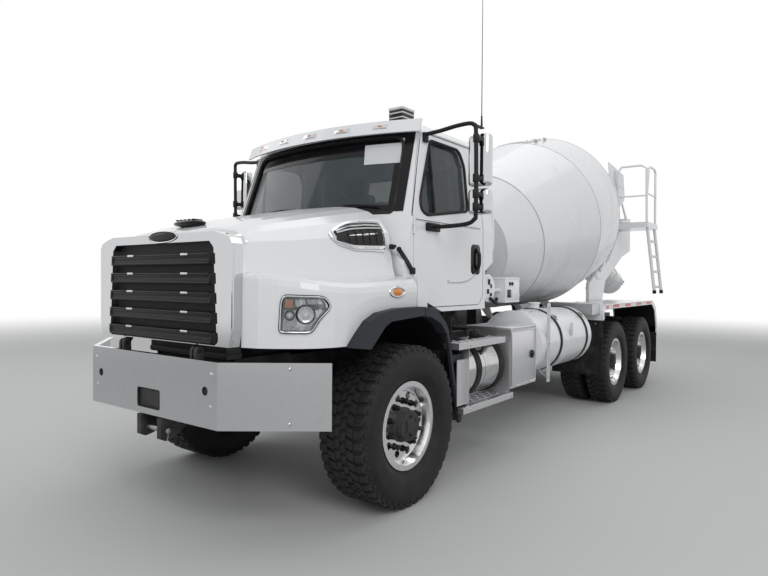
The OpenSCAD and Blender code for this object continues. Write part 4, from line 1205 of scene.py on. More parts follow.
@dataclass
class Tyre:
    """A tyre with its tread cut into lugs, round an axle at the given height."""

    radius: float
    width: float
    rim: float
    height: float
    rows: tuple[tuple[float, float, float, float, float], ...]
    count: int
    groove: float = 0.016
    bead: float = 0.286

    def carcass(self, x: float, y: float) -> Form:
        """The tyre's body from bead to bead, without its lugs.

        Args:
            x: The middle of its width.
            y: Place along the truck.

        Returns:
            The body.
        """
        r, w = self.radius, self.width
        base = r - self.groove
        half = [(self.rim - 0.0186, self.bead + 0.0006), (self.rim - 0.0126, self.bead + 0.022),
                (w * 0.45, r * 0.64), (w * 0.485, r * 0.71), (w * 0.499, r * 0.8), (w * 0.487, r * 0.88),
                (w * 0.43, r * 0.935), (w * 0.415, base - 0.002)]
        line = [(p.x, p.y) for p in smooth_line([(a, b, 0) for a, b in half], 3)]
        whole = [(-a, b) for a, b in line] + [(0.0, base + 0.001)] + [(a, b) for a, b in reversed(line)]
        return Form().spun(whole, (x, y, self.height), (1, 0, 0), steps=96)

    def lugs(self, x: float, y: float) -> Form:
        """All the lugs; a row gives near edge, far edge, share of the pitch, slant and offset.

        Args:
            x: The middle of the tyre's width.
            y: Place along the truck.

        Returns:
            The lugs.
        """
        form = Form()
        pitch = tau * self.radius / self.count
        for near, far, share, slant, shift in self.rows:
            half = pitch * share / 2
            for sign in (1, -1):
                mid = pitch * (shift if sign > 0 else shift + 0.5)
                corners = [(near, -half), (near, half), (far, half + slant), (far, -half + slant)]
                drop = 0.0022 if far > self.width * 0.3 else 0.0012
                turns = [((mid + sign * b) / self.radius, x + sign * a) for a, b in corners]
                r = self.radius - drop
                one = [(across, y + r * sin(t), self.height + r * cos(t)) for t, across in turns]
                t = mid / self.radius
                form.sheet(one, Vector((0, sin(t), cos(t))) * (-self.groove - 0.006), bevel=0.0018)
        shoulder = self.width * 0.43
        for sign in (1, -1):
            mid = y + pitch * (0.0 if sign > 0 else 0.5)
            low, high = self.radius * 0.905, self.radius * 0.957
            edge = x + sign * shoulder
            form.block((min(edge, edge + sign * self.width * 0.022), mid - pitch * 0.2, self.height + low),
                       (max(edge, edge + sign * self.width * 0.022), mid + pitch * 0.2, self.height + high),
                       0.003,
                       turned(-14 * sign, "Y"), 1)
        return form.around(self.count, (x, y, self.height), (1, 0, 0))

    def build(self, name: str, xs: Sequence[float], y: float, body: str, node: str, finish: Finish) -> None:
        """Makes one tyre or a twin pair as one piece in place of its CAD node.

        Args:
            name: The piece's name.
            xs: The middle of each tyre's width.
            y: Place along the truck.
            body: The CAD body that it moves with.
            node: The CAD node that it stands for.
            finish: Its rubber.
        """
        form = Form()
        for x in xs:
            form.joined(self.carcass(x, y)).joined(self.lugs(x, y))
        form.piece(name, finish, body, [node], smooth=40)


@dataclass
class Wheels:
    """Tyres, nuts and hub parts of the front wheels and the two rear pairs."""

    front_z: float = FRONT_TYRE
    rear_z: float = REAR_TYRE
    front_x: float = 0.98
    rear_x: float = 1.08
    twin: float = 0.33
    bolt_circle: float = 0.1675

    def nuts(self, x: float, y: float, z: float, capped: bool) -> Form:
        """Ten wheel nuts on their ring, on the left side.

        Args:
            x: The wheel's face.
            y: Place along the truck.
            z: Height of the axle.
            capped: Whether the nuts have caps.

        Returns:
            The nuts.
        """
        form = Form()
        r = self.bolt_circle
        if capped:
            form.rod((x, y, z + r), (x + 0.006, y, z + r), 0.024, sides=24)
            form.rod((x + 0.004, y, z + r), (x + 0.04, y, z + r), 0.0195, 0.0175, sides=6, bevel=0.0015)
            form.ball((x + 0.04, y, z + r), 0.017, (0.5, 1, 1), 8)
        else:
            form.rod((x, y, z + r), (x + 0.005, y, z + r), 0.023, sides=24)
            form.rod((x + 0.003, y, z + r), (x + 0.026, y, z + r), 0.0185, sides=6, bevel=0.001)
            form.rod((x + 0.02, y, z + r), (x + 0.04, y, z + r), 0.0095, sides=12, bevel=0.001)
        return form.around(10, (x, y, z), (1, 0, 0))

    def hub(self, x0: float, x1: float, y: float, z: float, studs: int) -> Form:
        """The cover round a hub with its flange, studs and cap.

        Args:
            x0: Where it starts.
            x1: Where its face is.
            y: Place along the truck.
            z: Height of the axle.
            studs: How many studs its face has.

        Returns:
            The cover.
        """
        rim = Form().rod((x1 + 0.001, y, z + 0.066), (x1 + 0.016, y, z + 0.066), 0.0095, sides=6, bevel=0.001)
        rim.around(studs, (x1, y, z), (1, 0, 0))
        profile = [(x0, 0.1062), (x0, 0.122), (x0 + 0.012, 0.122), (x0 + 0.018, 0.109), (x1 - 0.012, 0.1075),
                   (x1 + 0.003, 0.092), (x1 + 0.003, 0.056), (x1 + 0.012, 0.052), (x1 + 0.014, 0.0)]
        back = [(x1 + 0.0006, 0.0), (x1 + 0.0006, 0.1056), (x0 + 0.002, 0.1056)]
        return rim.spun(profile + back, (0, y, z), (1, 0, 0), steps=48, closed=True)

    def valve(self, x: float, y: float, z: float) -> Form:
        """A valve stem that bends out from the rim."""
        return Form().pipe(smooth_line([(x - 0.02, y + 0.03, z + 0.235), (x + 0.02, y + 0.03, z + 0.228),
                                        (x + 0.045, y + 0.03, z + 0.215), (x + 0.062, y + 0.03, z + 0.212)],
                                       3), 0.0035, 8)

    def build(self) -> None:
        """Makes all six tyre pieces and the wheels' fittings."""
        looks = Dressing().finishes()
        front = Tyre(FRONT_TYRE, 0.425, 0.156, self.front_z, (
            (0.112, 0.176, 0.62, 0.012, 0.0), (0.052, 0.106, 0.74, -0.016, 0.25),
            (0.003, 0.046, 0.7, 0.014, 0.6)), 46)
        rear = Tyre(REAR_TYRE, 0.279, 0.106, self.rear_z, (
            (0.05, 0.114, 0.66, 0.014, 0.0), (0.003, 0.043, 0.72, -0.018, 0.3)), 40, groove=0.019)
        for side in Side:
            s = side.value
            body = f"wheel_front_{side.word}"
            front.build(f"front_tread_{side.word}", [s * self.front_x], 0.0, body, f"front_tyre_{side.word}",
                        looks["front_tyre_left"])
            face = self.front_x + 0.098
            self.nuts(face, 0, self.front_z, True).sided(side, "front_nuts", Shop.GLOSS, body)
            self.hub(face + 0.0005, 1.148, 0, self.front_z, 6).sided(side, "front_hub", Shop.FRAME, body)
            self.valve(face + 0.02, 0, self.front_z).sided(side, "front_valve", Shop.STEEL, body)
            for n, y in enumerate(REAR_AXLES, 1):
                body = f"wheels_rear_{n}_{side.word}"
                rear.build(f"rear_tread_{n}_{side.word}", [s * self.rear_x, s * (self.rear_x - self.twin)], y,
                           body,
                           f"rear_tyres_{n}_{side.word}", looks[f"rear_tyres_{n}_{side.word}"])
                face = self.rear_x - self.twin / 2 + 0.046
                self.nuts(face - 0.01, y, self.rear_z, False).sided(side, f"rear_nuts_{n}", Shop.STEEL, body)
                self.hub(face - 0.012, 1.065, y, self.rear_z, 8).sided(side, f"rear_hub_{n}", Shop.IRON, body)
                self.valve(1.06, y, self.rear_z).sided(side, f"rear_valve_{n}", Shop.STEEL, body)


@dataclass
class HoodLine:
    """The hood's skin as the CAD part has it, so that trim can lie on it."""

    rows: tuple[tuple[float, ...], ...] = (
        (-1.135, 1.172, 0.738, 1.59, 0.712, 1.858, 0.0), (-1.11, 1.172, 0.835, 1.606, 0.72, 1.874, 0.0),
        (-1.05, 1.172, 0.93, 1.606, 0.742, 1.902, 0.0), (-0.965, 1.172, 1.036, 1.592, 0.768, 1.928, 0.0),
        (-0.88, 1.172, 1.104, 1.578, 0.792, 1.952, 0.0), (-0.79, 1.172, 1.142, 1.566, 0.815, 1.976, 0.0),
        (-0.695, 1.172, 1.158, 1.561, 0.836, 1.998, 0.0), (-0.624, 1.2483, 1.161, 1.56, 0.848, 2.013, 0.0),
        (-0.547, 1.3183, 1.163, 1.561, 0.862, 2.029, 0.0),
        (-0.441, 1.3653, 1.164, 1.566, 0.881, 2.051, 0.005),
        (-0.247, 1.3883, 1.162, 1.576, 0.906, 2.086, 0.022), (0.066, 1.3903, 1.15, 1.594, 0.936, 2.14, 0.055))

    def row(self, y: float) -> list[float]:
        """The section's numbers at a place along the hood.

        Args:
            y: The place.

        Returns:
            The numbers.
        """
        low = [r for r in self.rows if r[0] <= y][-1] if y > self.rows[0][0] else self.rows[0]
        high = [r for r in self.rows if r[0] >= y][0] if y < self.rows[-1][0] else self.rows[-1]
        t = 0.0 if high[0] == low[0] else (y - low[0]) / (high[0] - low[0])
        return [a + (b - a) * t for a, b in zip(low, high)]

    def half(self, row: Sequence[float]) -> list[Vector]:
        """Half of a section, from the fender's low edge to the crown.

        Args:
            row: The section's numbers: y, low edge, half width, fender top, hood half width, crown, bow.

        Returns:
            The points as (x, z).
        """
        _, low, w, top, c, crown, _ = row
        r, shoulder = min(0.07, (w - c) / 2), top + 0.07
        line = [(w - 0.008, low), (w, (low + top) / 2)]
        line += [(w - r + r * cos(radians(a)), top - r + r * sin(radians(a))) for a in (0, 30, 60, 90)]
        line += [(c + 0.018, top + 0.012), (c, shoulder)]
        line += [(c * cos(radians(a)) ** 0.45, shoulder + (crown - shoulder) * sin(radians(a)) ** 0.7)
                 for a in (24, 42, 56, 68, 79)]
        return [Vector(p) for p in line + [(0.0, crown)]]

    def on(self, y: float, u: float, off: float = 0.0) -> Vector:
        """A place on the left half of the skin.

        Args:
            y: Place along the hood.
            u: Place on the section's line, counted in its points.
            off: Height off the skin.

        Returns:
            The place.
        """
        row = self.row(y)
        line = self.half(row)
        i = min(int(u), len(line) - 2)
        p = line[i].lerp(line[i + 1], u - i)
        way = (line[i + 1] - line[i]).normalized()
        p = p + Vector((way.y, -way.x)) * off
        return Vector((p.x, row[0] - row[6] * (1 - min(1.0, (p.x / row[4]) ** 2)), p.y))

    def corner(self, x: float, z: float, off: float = 0.0) -> Vector:
        """A place on the rounded front corner of the fender.

        Args:
            x: Place across.
            z: Height.
            off: Distance outwards.

        Returns:
            The place.
        """
        for a, b in zip(self.rows, self.rows[1:7]):
            if a[2] <= x <= b[2]:
                t = (x - a[2]) / (b[2] - a[2])
                out = Vector((b[0] - a[0], a[2] - b[2])).normalized()
                return Vector((x + out.x * off, a[0] + (b[0] - a[0]) * t + out.y * off, z))
        return Vector((x, -0.695, z))


@dataclass
class Front:
    """Bumper fittings, grille bars, badge, headlamps and the hood's trim."""

    hood: HoodLine
    lamp: tuple[tuple[float, float], ...] = (
        (0.941, 1.269), (0.948, 1.44), (0.959, 1.478), (1.115, 1.472), (1.131, 1.415), (1.072, 1.267))

    def bumper(self) -> None:
        """Bolts, the frame of the opening and the dark backing of the holes."""
        face = -1.288
        form = Form()
        for x, z in ((0.64, 1.02), (0.63, 0.829)):
            form.rod((x, face + 0.006, z), (x, face - 0.0005, z), 0.017, sides=24, bevel=0.0002)
            form.rod((x, face + 0.002, z), (x, face - 0.001, z), 0.011, 0.008, sides=24)
        for x, y, z in ((1.02, -1.035, 1.06), (1.02, -1.035, 0.745)):
            form.rod((x, y - 0.004, z), (x + 0.008, y - 0.016, z), 0.012, 0.007, sides=20)
        form.mirrored().piece("bumper_bolts", Shop.CHROME)
        rim = rounded([(-0.125, face, 0.748), (0.125, face, 0.748), (0.125, face, 0.871),
                       (-0.125, face, 0.871)], 0.02)
        ring = Form().pipe([p + Vector((0, 0.0035, 0)) for p in rim], 0.0045, 8, True)
        for s in (1, -1):
            ring.pipe(oval((s * 0.581, face + 0.002, 0.922), (0.0245, 0, 0), (0, 0, 0.0245), 32), 0.003, 8,
                      True)
        ring.piece("bumper_hole_rims", Shop.RUBBER)
        back = Form().block((-0.16, face + 0.012, 0.722), (0.16, face + 0.016, 0.9), 0.001)
        back.block((-0.3, face + 0.04, 0.86), (0.3, face + 0.052, 1.06), 0.004)
        for s in (1, -1):
            back.block((s * 0.581 - 0.06, face + 0.011, 0.86), (s * 0.581 + 0.06, face + 0.015, 0.985), 0.001)
        back.piece("bumper_backing", Shop.FRAME)
        pin = Form().rod((-0.15, -1.238, 0.612), (0.15, -1.238, 0.612), 0.0192, bevel=0.003)
        pin.ball((-0.15, -1.238, 0.612), 0.028, (0.4, 1, 1)).pipe(
            [(0.142, -1.238, 0.6), (0.142, -1.238, 0.575), (0.144, -1.246, 0.556)], 0.0025, 8)
        pin.piece("tow_pin", Shop.STEEL)

    def grille(self) -> None:
        """The slotted frames on the five bars, their bright clips and the wire behind."""
        step = 0.118
        frames, clips, wire = Form(), Form(), Form()
        for i in range(5):
            low = 1.19 + i * step
            high = low + step * 0.55
            wide = 0.568 - (low - 1.26) * 0.06 if low > 1.25 else 0.566
            y = -1.226
            rim = rounded([(-wide, y, low + 0.006), (wide, y, low + 0.006), (wide - 0.01, y, high - 0.006),
                           (-wide + 0.01, y, high - 0.006)], 0.02)
            frames.pipe(rim, 0.0085, 8, True)
            frames.block((-wide + 0.03, y - 0.006, (low + high) / 2 + 0.008),
                         (wide - 0.03, y + 0.004, high - 0.012), 0.002)
            frames.block((-wide + 0.02, y - 0.003, low + 0.008), (wide - 0.02, y + 0.003, low + 0.018), 0.002)
            wire.block((-wide + 0.012, y - 0.001, low + 0.01), (wide - 0.012, y + 0.0015, high - 0.01))
            if i < 4:
                wire.block((-wide + 0.01, -1.168, high + 0.004), (wide - 0.01, -1.166, low + step - 0.004))
            for x in (-0.3 - 0.02 * (4 - i) / 4, 0.3):
                clips.block((x - 0.036, y - 0.013, high - 0.011), (x + 0.036, y - 0.006, high + 0.003), 0.002)
        frames.piece("grille_frames", Shop.PLASTIC, "hood")
        clips.piece("grille_clips", Shop.CHROME, "hood")
        wire.piece("grille_mesh", Shop.WIRE, "hood")
        badge = Form().ball((0.04, -1.212, 1.84), 0.155, (1.0, 0.055, 0.22), 20)
        badge.piece("blank_badge", Shop.GLOSS, "hood")
        ring = oval((0.04, -1.2175, 1.84), (0.158, 0, 0), (0, 0, 0.036), 40)
        Form().pipe(ring, 0.0045, 8, True).piece("badge_rim", Shop.CHROME, "hood")
        trim = Form()
        for z0, x0, z1, x1 in ((1.18, 0.703, 1.271, 0.722), (1.271, 0.722, 1.78, 0.725)):
            trim.pipe([(x0, -1.2, z0), (x1, -1.2, z1)], 0.006, 8)
        trim.patch(20, 3, lambda s, t: self.hood.on(-1.133 + 0.058 * t, 8.0 + 4.98 * s, 0.004), 0.003)
        trim.mirrored().piece("surround_beads", Shop.CHROME, "hood")

    def headlamp(self, side: Side) -> None:
        """A lamp: black edge, dark bowl, bright reflectors, two round lights, amber leaf, clear cover.

        Args:
            side: The side of the truck.
        """
        h, w = self.hood, side.word
        outline = rounded([(x, 0, z) for x, z in self.lamp], 0.02, 3)
        fine: list[Vector] = []
        for a, b in zip(outline, outline[1:] + outline[:1]):
            fine += [a.lerp(b, k / 2) for k in range(2)]
        for name, off, r, finish in (("edge", 0.003, 0.01, Shop.GLOSS), ("bezel", 0.01, 0.005, Shop.CHROME)):
            Form().pipe([h.corner(p.x, p.z, off) for p in fine], r, 10, True).flipped(side).piece(
                f"headlamp_{name}_{w}", finish, "hood")

        def inside(s: float, t: float, off: float) -> Vector:
            """A place in the lamp's outline from two shares."""
            low_x = 0.944 + 0.016 * t
            high_x = 1.068 + 0.056 * min(1.0, t / 0.72) - 0.018 * max(0.0, t / 0.28 - 2.571)
            return h.corner(low_x + (high_x - low_x) * s, 1.273 + 0.198 * t, off)

        def plate(s0: float, s1: float, t0: float, t1: float, off: float) -> Form:
            """A thin patch over a share of the lamp."""
            return Form().patch(6, 6, lambda s, t: inside(s0 + (s1 - s0) * s, t0 + (t1 - t0) * t, off),
                                0.0016)

        plate(0.0, 1.0, 0.0, 1.0, 0.0035).sided(side, "headlamp_bowl", Shop.GLOSS, "hood")
        bright = plate(0.05, 0.97, 0.04, 0.62, 0.0055)
        for k in range(5):
            bright.joined(plate(0.06 + 0.18 * k, 0.2 + 0.18 * k, 0.05, 0.15, 0.0075 + 0.001 * (k % 2)))
        bright.joined(plate(0.34, 0.6, 0.72, 0.93, 0.006)).joined(plate(0.64, 0.95, 0.8, 0.93, 0.006))
        plate(0.05, 0.27, 0.7, 0.93, 0.006).sided(side, "headlamp_leaf", Shop.AMBER, "hood")
        eye, cheek = h.corner(1.052, 1.372, 0.005), h.corner(0.986, 1.366, 0.005)
        out = (h.corner(1.052, 1.372, 1.0) - h.corner(1.052, 1.372, 0.0)).normalized()
        side_out = (h.corner(0.986, 1.366, 1.0) - h.corner(0.986, 1.366, 0.0)).normalized()
        rings, glass = Form(), Form()
        for place, way, r in ((eye, out, 0.058), (cheek, side_out, 0.031)):
            rings.spun([(0.0, r - 0.011), (0.009, r - 0.009), (0.0125, r - 0.004), (0.009, r),
                        (0.0, r + 0.001)], place, way,
                       closed=True)
            bright.spun([(0.0015, 0.0), (0.0015, r * 0.45), (0.0075, r - 0.012), (0.0035, r - 0.01),
                         (0.0, 0.0)], place, way)
            glass.spun([(0.001, r * 0.52), (0.005, r * 0.48), (0.0105, r * 0.28), (0.0125, 0.0)], place, way)
        rings.sided(side, "headlamp_rings", Shop.PLASTIC, "hood")
        bright.sided(side, "headlamp_reflectors", Shop.CHROME, "hood")
        glass.sided(side, "headlamp_projector", Shop.CASE, "hood")
        cover = Form().patch(16, 10, lambda s, t: inside(s, t, 0.0165), 0.0015)
        cover.sided(side, "headlamp_cover", Shop.CLEAR, "hood", [] if side is Side.RIGHT else ["headlamps"])

    def vent(self, side: Side) -> None:
        """Wire, bars, ribs and a bright rim on the hood's side vent.

        Args:
            side: The side of the truck.
        """
        h = self.hood
        ys = (-0.47, -0.35, -0.3, -0.15, -0.02, 0.0)
        lows = (7.9, 7.68, 7.62, 7.57, 7.55, 7.6)
        highs = (8.32, 8.72, 8.82, 8.8, 8.66, 8.6)

        def spot(s: float, t: float, off: float) -> Vector:
            """A place in the vent from two shares."""
            y = ys[0] + (ys[-1] - ys[0]) * s
            k = max(i for i, v in enumerate(ys) if v <= y + 1e-9)
            k = min(k, len(ys) - 2)
            f = (y - ys[k]) / (ys[k + 1] - ys[k])
            low, high = lows[k] + (lows[k + 1] - lows[k]) * f, highs[k] + (highs[k + 1] - highs[k]) * f
            return h.on(y, low + (high - low) * t, off)

        shape = Form().patch(24, 8, lambda s, t: spot(0.03 + 0.94 * s, 0.08 + 0.84 * t, 0.0138), 0.0012)
        shape.sided(side, "vent_mesh", Shop.WIRE, "hood")
        bars = Form()
        for t in (0.62, 0.8):
            bars.pipe([spot(0.05 + 0.9 * k / 10, t, 0.019) for k in range(11)], 0.0065, 8)
        edge = [spot(k / 12, 0.0, 0.0145) for k in range(13)] + [spot(1.0, k / 4, 0.0145)
                                                                 for k in range(1, 4)]
        edge += [spot(1 - k / 12, 1.0, 0.0145) for k in range(13)] + [spot(0.0, 1 - k / 4, 0.0145)
                                                                      for k in range(1, 4)]
        bars.pipe(edge, 0.0075, 8, True)
        bars.sided(side, "vent_bars", Shop.CHROME, "hood")
        ribs = Form()
        for k in range(1, 6):
            ribs.pipe([spot(0.12 + 0.14 * k, 0.1 + 0.45 * j / 4, 0.0165) for j in range(5)], 0.0025, 6)
        ribs.sided(side, "vent_ribs", Shop.PLASTIC, "hood")

    def markers(self, side: Side) -> None:
        """The amber marker lamp and the rubber latch at the hood's rear edge.

        Args:
            side: The side of the truck.
        """
        ring = oval((1.1615, -0.191, 1.495), (0, 0.082, 0), (0, 0, 0.031), 36)
        Form().pipe(ring, 0.008, 10, True).sided(side, "marker_rim", Shop.CHROME, "hood")
        shape = Form().ball((1.158, -0.183, 1.495), 0.058, (0.3, 1, 0.48), 14)
        shape.sided(side, "marker_lens", Shop.AMBER, "hood")
        base = Form().block((1.153, -0.26, 1.472), (1.164, -0.12, 1.518), 0.004)
        base.sided(side, "marker_base", Shop.CASE, "hood")
        catch = Form().block((0.932, 0.02, 1.795), (0.958, 0.062, 1.832), 0.005)
        catch.rod((0.948, 0.041, 1.812), (0.976, 0.046, 1.818), 0.011)
        catch.sided(side, "latch_catch", Shop.PLASTIC, "hood")
        strap = Form().pipe(smooth_line([(0.985, 0.062, 1.8), (0.998, 0.092, 1.765), (1.012, 0.13, 1.715),
                                         (1.018, 0.168, 1.67), (1.02, 0.2, 1.64)], 4), 0.0165, 10)
        strap.block((1.005, 0.176, 1.618), (1.032, 0.224, 1.668), 0.008).ball((0.99, 0.066, 1.796), 0.019,
                                                                              rings=10)
        strap.sided(side, "latch_strap", Shop.RUBBER)

    def liners(self) -> None:
        """Black liners in the front wheel arches, of which the rear part stays with the cab."""
        arc = smooth_line([(0, -0.61, 1.18), (0, -0.56, 1.262), (0, -0.46, 1.322), (0, -0.25, 1.352),
                           (0, 0.06, 1.356)], 5)
        form = Form()
        form.patch(3, len(arc) - 1, lambda s, t: (0.585 + 0.545 * s, *along(arc, t)[1:]), 0.004)
        form.patch(2, len(arc) - 1, lambda s, t: (0.585, along(arc, t).y,
                                                  1.075 + (along(arc, t).z - 1.075) * s), 0.004)
        form.mirrored().piece("wheel_arch_liners", Shop.LINER, "hood")
        rear = smooth_line([(0, 0.082, 1.355), (0, 0.2, 1.335), (0, 0.33, 1.262), (0, 0.42, 1.17),
                            (0, 0.48, 1.045)], 5)
        back = Form().patch(3, len(rear) - 1, lambda s, t: (0.59 + 0.535 * s, *along(rear, t)[1:]), 0.004)
        back.block((0.586, 0.082, 1.075), (0.592, 0.69, 1.35), 0.001)
        back.mirrored().piece("cab_arch_liners", Shop.LINER)

    def build(self) -> None:
        """Makes every piece of the front."""
        self.bumper()
        self.grille()
        for side in Side:
            self.headlamp(side)
            self.vent(side)
            self.markers(side)
        self.liners()
        top = Form().ball((-0.05, -0.95, 1.952), 0.16, (1.0, 0.42, 0.16), 14)
        top.piece("hood_top_lens", Shop.GLOSS, "hood")
        rib = Form()
        for k in range(5):
            rib.block((-0.15 + k * 0.045, -0.99, 1.97), (-0.14 + k * 0.045, -0.91, 1.979), 0.002)
        rib.piece("hood_top_ribs", Shop.PLASTIC, "hood")


@dataclass
class Cab:
    """Glass trim, wipers, visor lamps, door fittings and what shows inside."""

    def windscreen(self) -> None:
        """Rubber seals, black bands, wipers and blank card of the windscreen, and the rear window's seal."""
        rim = [(-0.84, 2.075), (0.84, 2.075), (0.85, 2.13), (0.815, 2.64), (0.76, 2.69), (-0.76, 2.69),
               (-0.815, 2.64), (-0.85, 2.13)]
        line = rounded([(x, 0, z) for x, z in rim], 0.05, 4)
        fine: list[Vector] = []
        for a, b in zip(line, line[1:] + line[:1]):
            n = max(1, int((b - a).length / 0.12))
            fine += [a.lerp(b, k / n) for k in range(n)]
        shape = Form().pipe([screen(p.x, p.z, -0.006) for p in fine], 0.013, 8, True)
        shape.piece("windscreen_seal", Shop.RUBBER)

        def band(a: tuple[float, float], b: tuple[float, float], wide: tuple[float, float]) -> Form:
            """A dark strip on the glass from a to b, widening by wide."""
            def spot(s: float, t: float) -> Vector:
                """A place on the strip."""
                return screen(a[0] + (b[0] - a[0]) * s + wide[0] * t, a[1] + (b[1] - a[1]) * s + wide[1] * t,
                              -0.0192)
            return Form().patch(24, 3, spot, 0.0006)

        frit = band((-0.835, 2.08), (0.835, 2.08), (0, 0.062))
        frit.joined(band((-0.765, 2.684), (0.765, 2.684), (0, -0.13)))
        for s in (1, -1):
            frit.joined(band((s * 0.845, 2.128), (s * 0.812, 2.64), (-s * 0.055, 0)))
        for s in (1, -1):
            frit.patch(4, 24, lambda u, v, s=s: screen(
                s * (0.85 - 0.036 * v + 0.074 * u), 2.09 + 0.632 * v, 0.0035), 0.002)
        frit.patch(30, 2, lambda u, v: screen(-0.885 + 1.77 * u, 2.68 + 0.044 * v, 0.0035), 0.002)
        frit.piece("windscreen_band", Shop.GLOSS)
        card = Form().patch(6, 4, lambda s, t: screen(0.515 + 0.3 * s - 0.03 * t, 2.48 + 0.165 * t, -0.0186),
                            0.0006)
        card.piece("blank_card", Shop.CARD)
        wipers = Form()
        for foot, a, b in ((-0.52, -0.46, 0.02), (0.2, 0.26, 0.72)):
            wipers.pipe([screen((a + b) / 2 - 0.24 + 0.48 * k / 8, 2.13 + 0.02 * sin(k / 8 * pi), 0.001)
                         for k in range(9)], 0.006, 8)
            wipers.pipe([screen(foot, 2.062, 0.018), screen(foot + 0.12, 2.09, 0.024),
                         screen((a + b) / 2, 2.148, 0.014)], 0.0075, 8)
            wipers.rod(screen(foot, 2.052, 0.0), screen(foot, 2.06, 0.036), 0.018, bevel=0.003)
        wipers.piece("wipers", Shop.PLASTIC)
        seal = rounded([(-0.5, 1.5075, 2.15), (0.5, 1.5075, 2.15), (0.5, 1.5075, 2.6), (-0.5, 1.5075, 2.6)],
                       0.05)
        Form().pipe(seal, 0.012, 8, True).piece("rear_window_seal", Shop.RUBBER)

    def roof(self) -> None:
        """Visor lamps, drip rails and the beacon's details."""
        lens, case = Form(), Form()
        for x in (-0.66, -0.33, 0.0, 0.33, 0.66):
            p = screen(x, 2.757, 0.0955)
            turn = Matrix.Rotation(asin(x / 2.6), 3, "Z") @ turned(-20, "X")
            case.block(p - Vector((0.072, 0.004, 0.022)), p + Vector((0.072, 0.004, 0.022)), 0.004, turn)
            q = p - turn @ Vector((0, 0.007, 0))
            case.block(q - Vector((0.056, 0.006, 0.017)), q + Vector((0.056, 0.006, 0.017)), 0.006, turn)
            lens.ball(q - turn @ Vector((0, 0.006, 0)), 0.02, (1.1, 0.3, 0.42), 10)
        case.piece("visor_lamp_bases", Shop.CHROME)
        lens.piece("visor_lamps", Shop.AMBER)
        drip = Form()
        for s in (1, -1):
            drip.pipe(smooth_line([(s * 0.934, 0.42, 2.712), (s * 0.936, 0.56, 2.728),
                                   (s * 0.936, 1.0, 2.732),
                                   (s * 0.936, 1.4, 2.728)], 3), 0.008, 8)
        drip.piece("drip_rails", Shop.WHITE)
        box = Form()
        for z in (2.905, 2.945, 2.985):
            box.block((0.426, 0.688, z), (0.574, 0.862, z + 0.012), 0.003)
        box.block((0.424, 0.684, 3.018), (0.576, 0.866, 3.04), 0.006)
        box.piece("beacon_ribs", Shop.CASE)
        lamp = Form().block((0.445, 0.683, 2.918), (0.555, 0.692, 2.944), 0.004)
        lamp.block((0.445, 0.683, 2.958), (0.555, 0.692, 2.984), 0.004)
        lamp.piece("beacon_lenses", Shop.GLOSS)
        Form().block((0.428, 0.688, 2.845), (0.572, 0.862, 2.862), 0.004).piece("beacon_foot", Shop.RUBBER)

    def door(self, side: Side) -> None:
        """Window seal, divider, handle, gasket, creases and inner panel of a door, and the mirror's foot.

        Args:
            side: The side of the truck.
        """
        w = side.word
        body = f"door_{w}"
        pane = [(0.417, 2.072), (1.045, 2.16), (1.062, 2.2), (1.062, 2.54), (1.01, 2.64), (0.96, 2.672),
                (0.545, 2.672), (0.338, 2.2), (0.331, 2.146), (0.35, 2.1)]
        line = rounded([(0, y, z) for y, z in pane], 0.03, 3)
        seal = [(cab_side(p.z) + 0.002, p.y, p.z) for p in line]
        form = Form().pipe(seal, 0.012, 8, True)
        form.block((0.944, 0.526, 2.1), (0.972, 0.543, 2.655), 0.004, turned(-5.9, "Y"))
        form.sided(side, "window_seal", Shop.RUBBER, body)
        dish = rounded([(1.0075, 1.1, 1.628), (1.0075, 1.265, 1.628), (1.0075, 1.265, 1.887),
                        (1.0075, 1.1, 1.887)], 0.05, 5)
        handle = Form().sheet(dish, (-0.006, 0, 0), 0.0015)
        handle.pipe(smooth_line([(1.006, 1.192, 1.668), (1.03, 1.196, 1.7), (1.036, 1.196, 1.757),
                                 (1.03, 1.196, 1.815), (1.006, 1.192, 1.847)], 3), 0.016, 10)
        handle.rod((1.006, 1.14, 1.672), (1.0135, 1.14, 1.672), 0.012)
        handle.sided(side, "door_handle", Shop.GLOSS, body)
        seam = [(0.233, 1.373), (1.236, 1.373), (1.31, 1.45), (1.31, 2.06), (1.286, 2.712), (0.44, 2.712),
                (0.233, 2.06)]
        gap = rounded([(0, y, z) for y, z in seam], 0.02, 3)
        shape = Form().pipe([(cab_side(p.z) - 0.012, p.y, p.z) for p in gap], 0.0055, 6, True)
        shape.sided(side, "door_gasket", Shop.RUBBER, body)
        press = Form().patch(18, 3, lambda s, t: (1.0052 + 0.005 * sin(pi * t) * sin(pi * s),
                                                  0.72 + 0.56 * s, 1.545 + 0.03 * t + 0.17 * s ** 4), 0.002)
        press.patch(12, 3, lambda s, t: (1.0052 + 0.0035 * sin(pi * t), 0.26 + 1.0 * s,
                                         2.02 + 0.022 * t - 0.002), 0.002)
        press.sided(side, "door_creases", Shop.WHITE, body)
        panel = Form().block((0.925, 0.275, 1.42), (0.949, 1.27, 2.03), 0.012)
        panel.block((0.88, 0.5, 1.78), (0.93, 1.1, 1.84), 0.016).block((0.9, 0.36, 1.46), (0.93, 1.15, 1.6),
                                                                       0.014)
        panel.pipe(smooth_line([(0.93, 0.42, 1.92), (0.885, 0.44, 1.94), (0.885, 0.6, 1.96),
                                (0.93, 0.62, 1.98)], 3), 0.01, 8)
        panel.sided(side, "door_panel", Shop.TRIM, body)
        foot = Form().block((1.003, 0.386, 1.95), (1.034, 0.564, 2.014), 0.01)
        foot.bolts([(1.032, 0.41, 1.982), (1.032, 0.54, 1.982)], (1, 0, 0), 0.007, 0.005)
        foot.sided(side, "mirror_foot", Shop.PLASTIC, body)

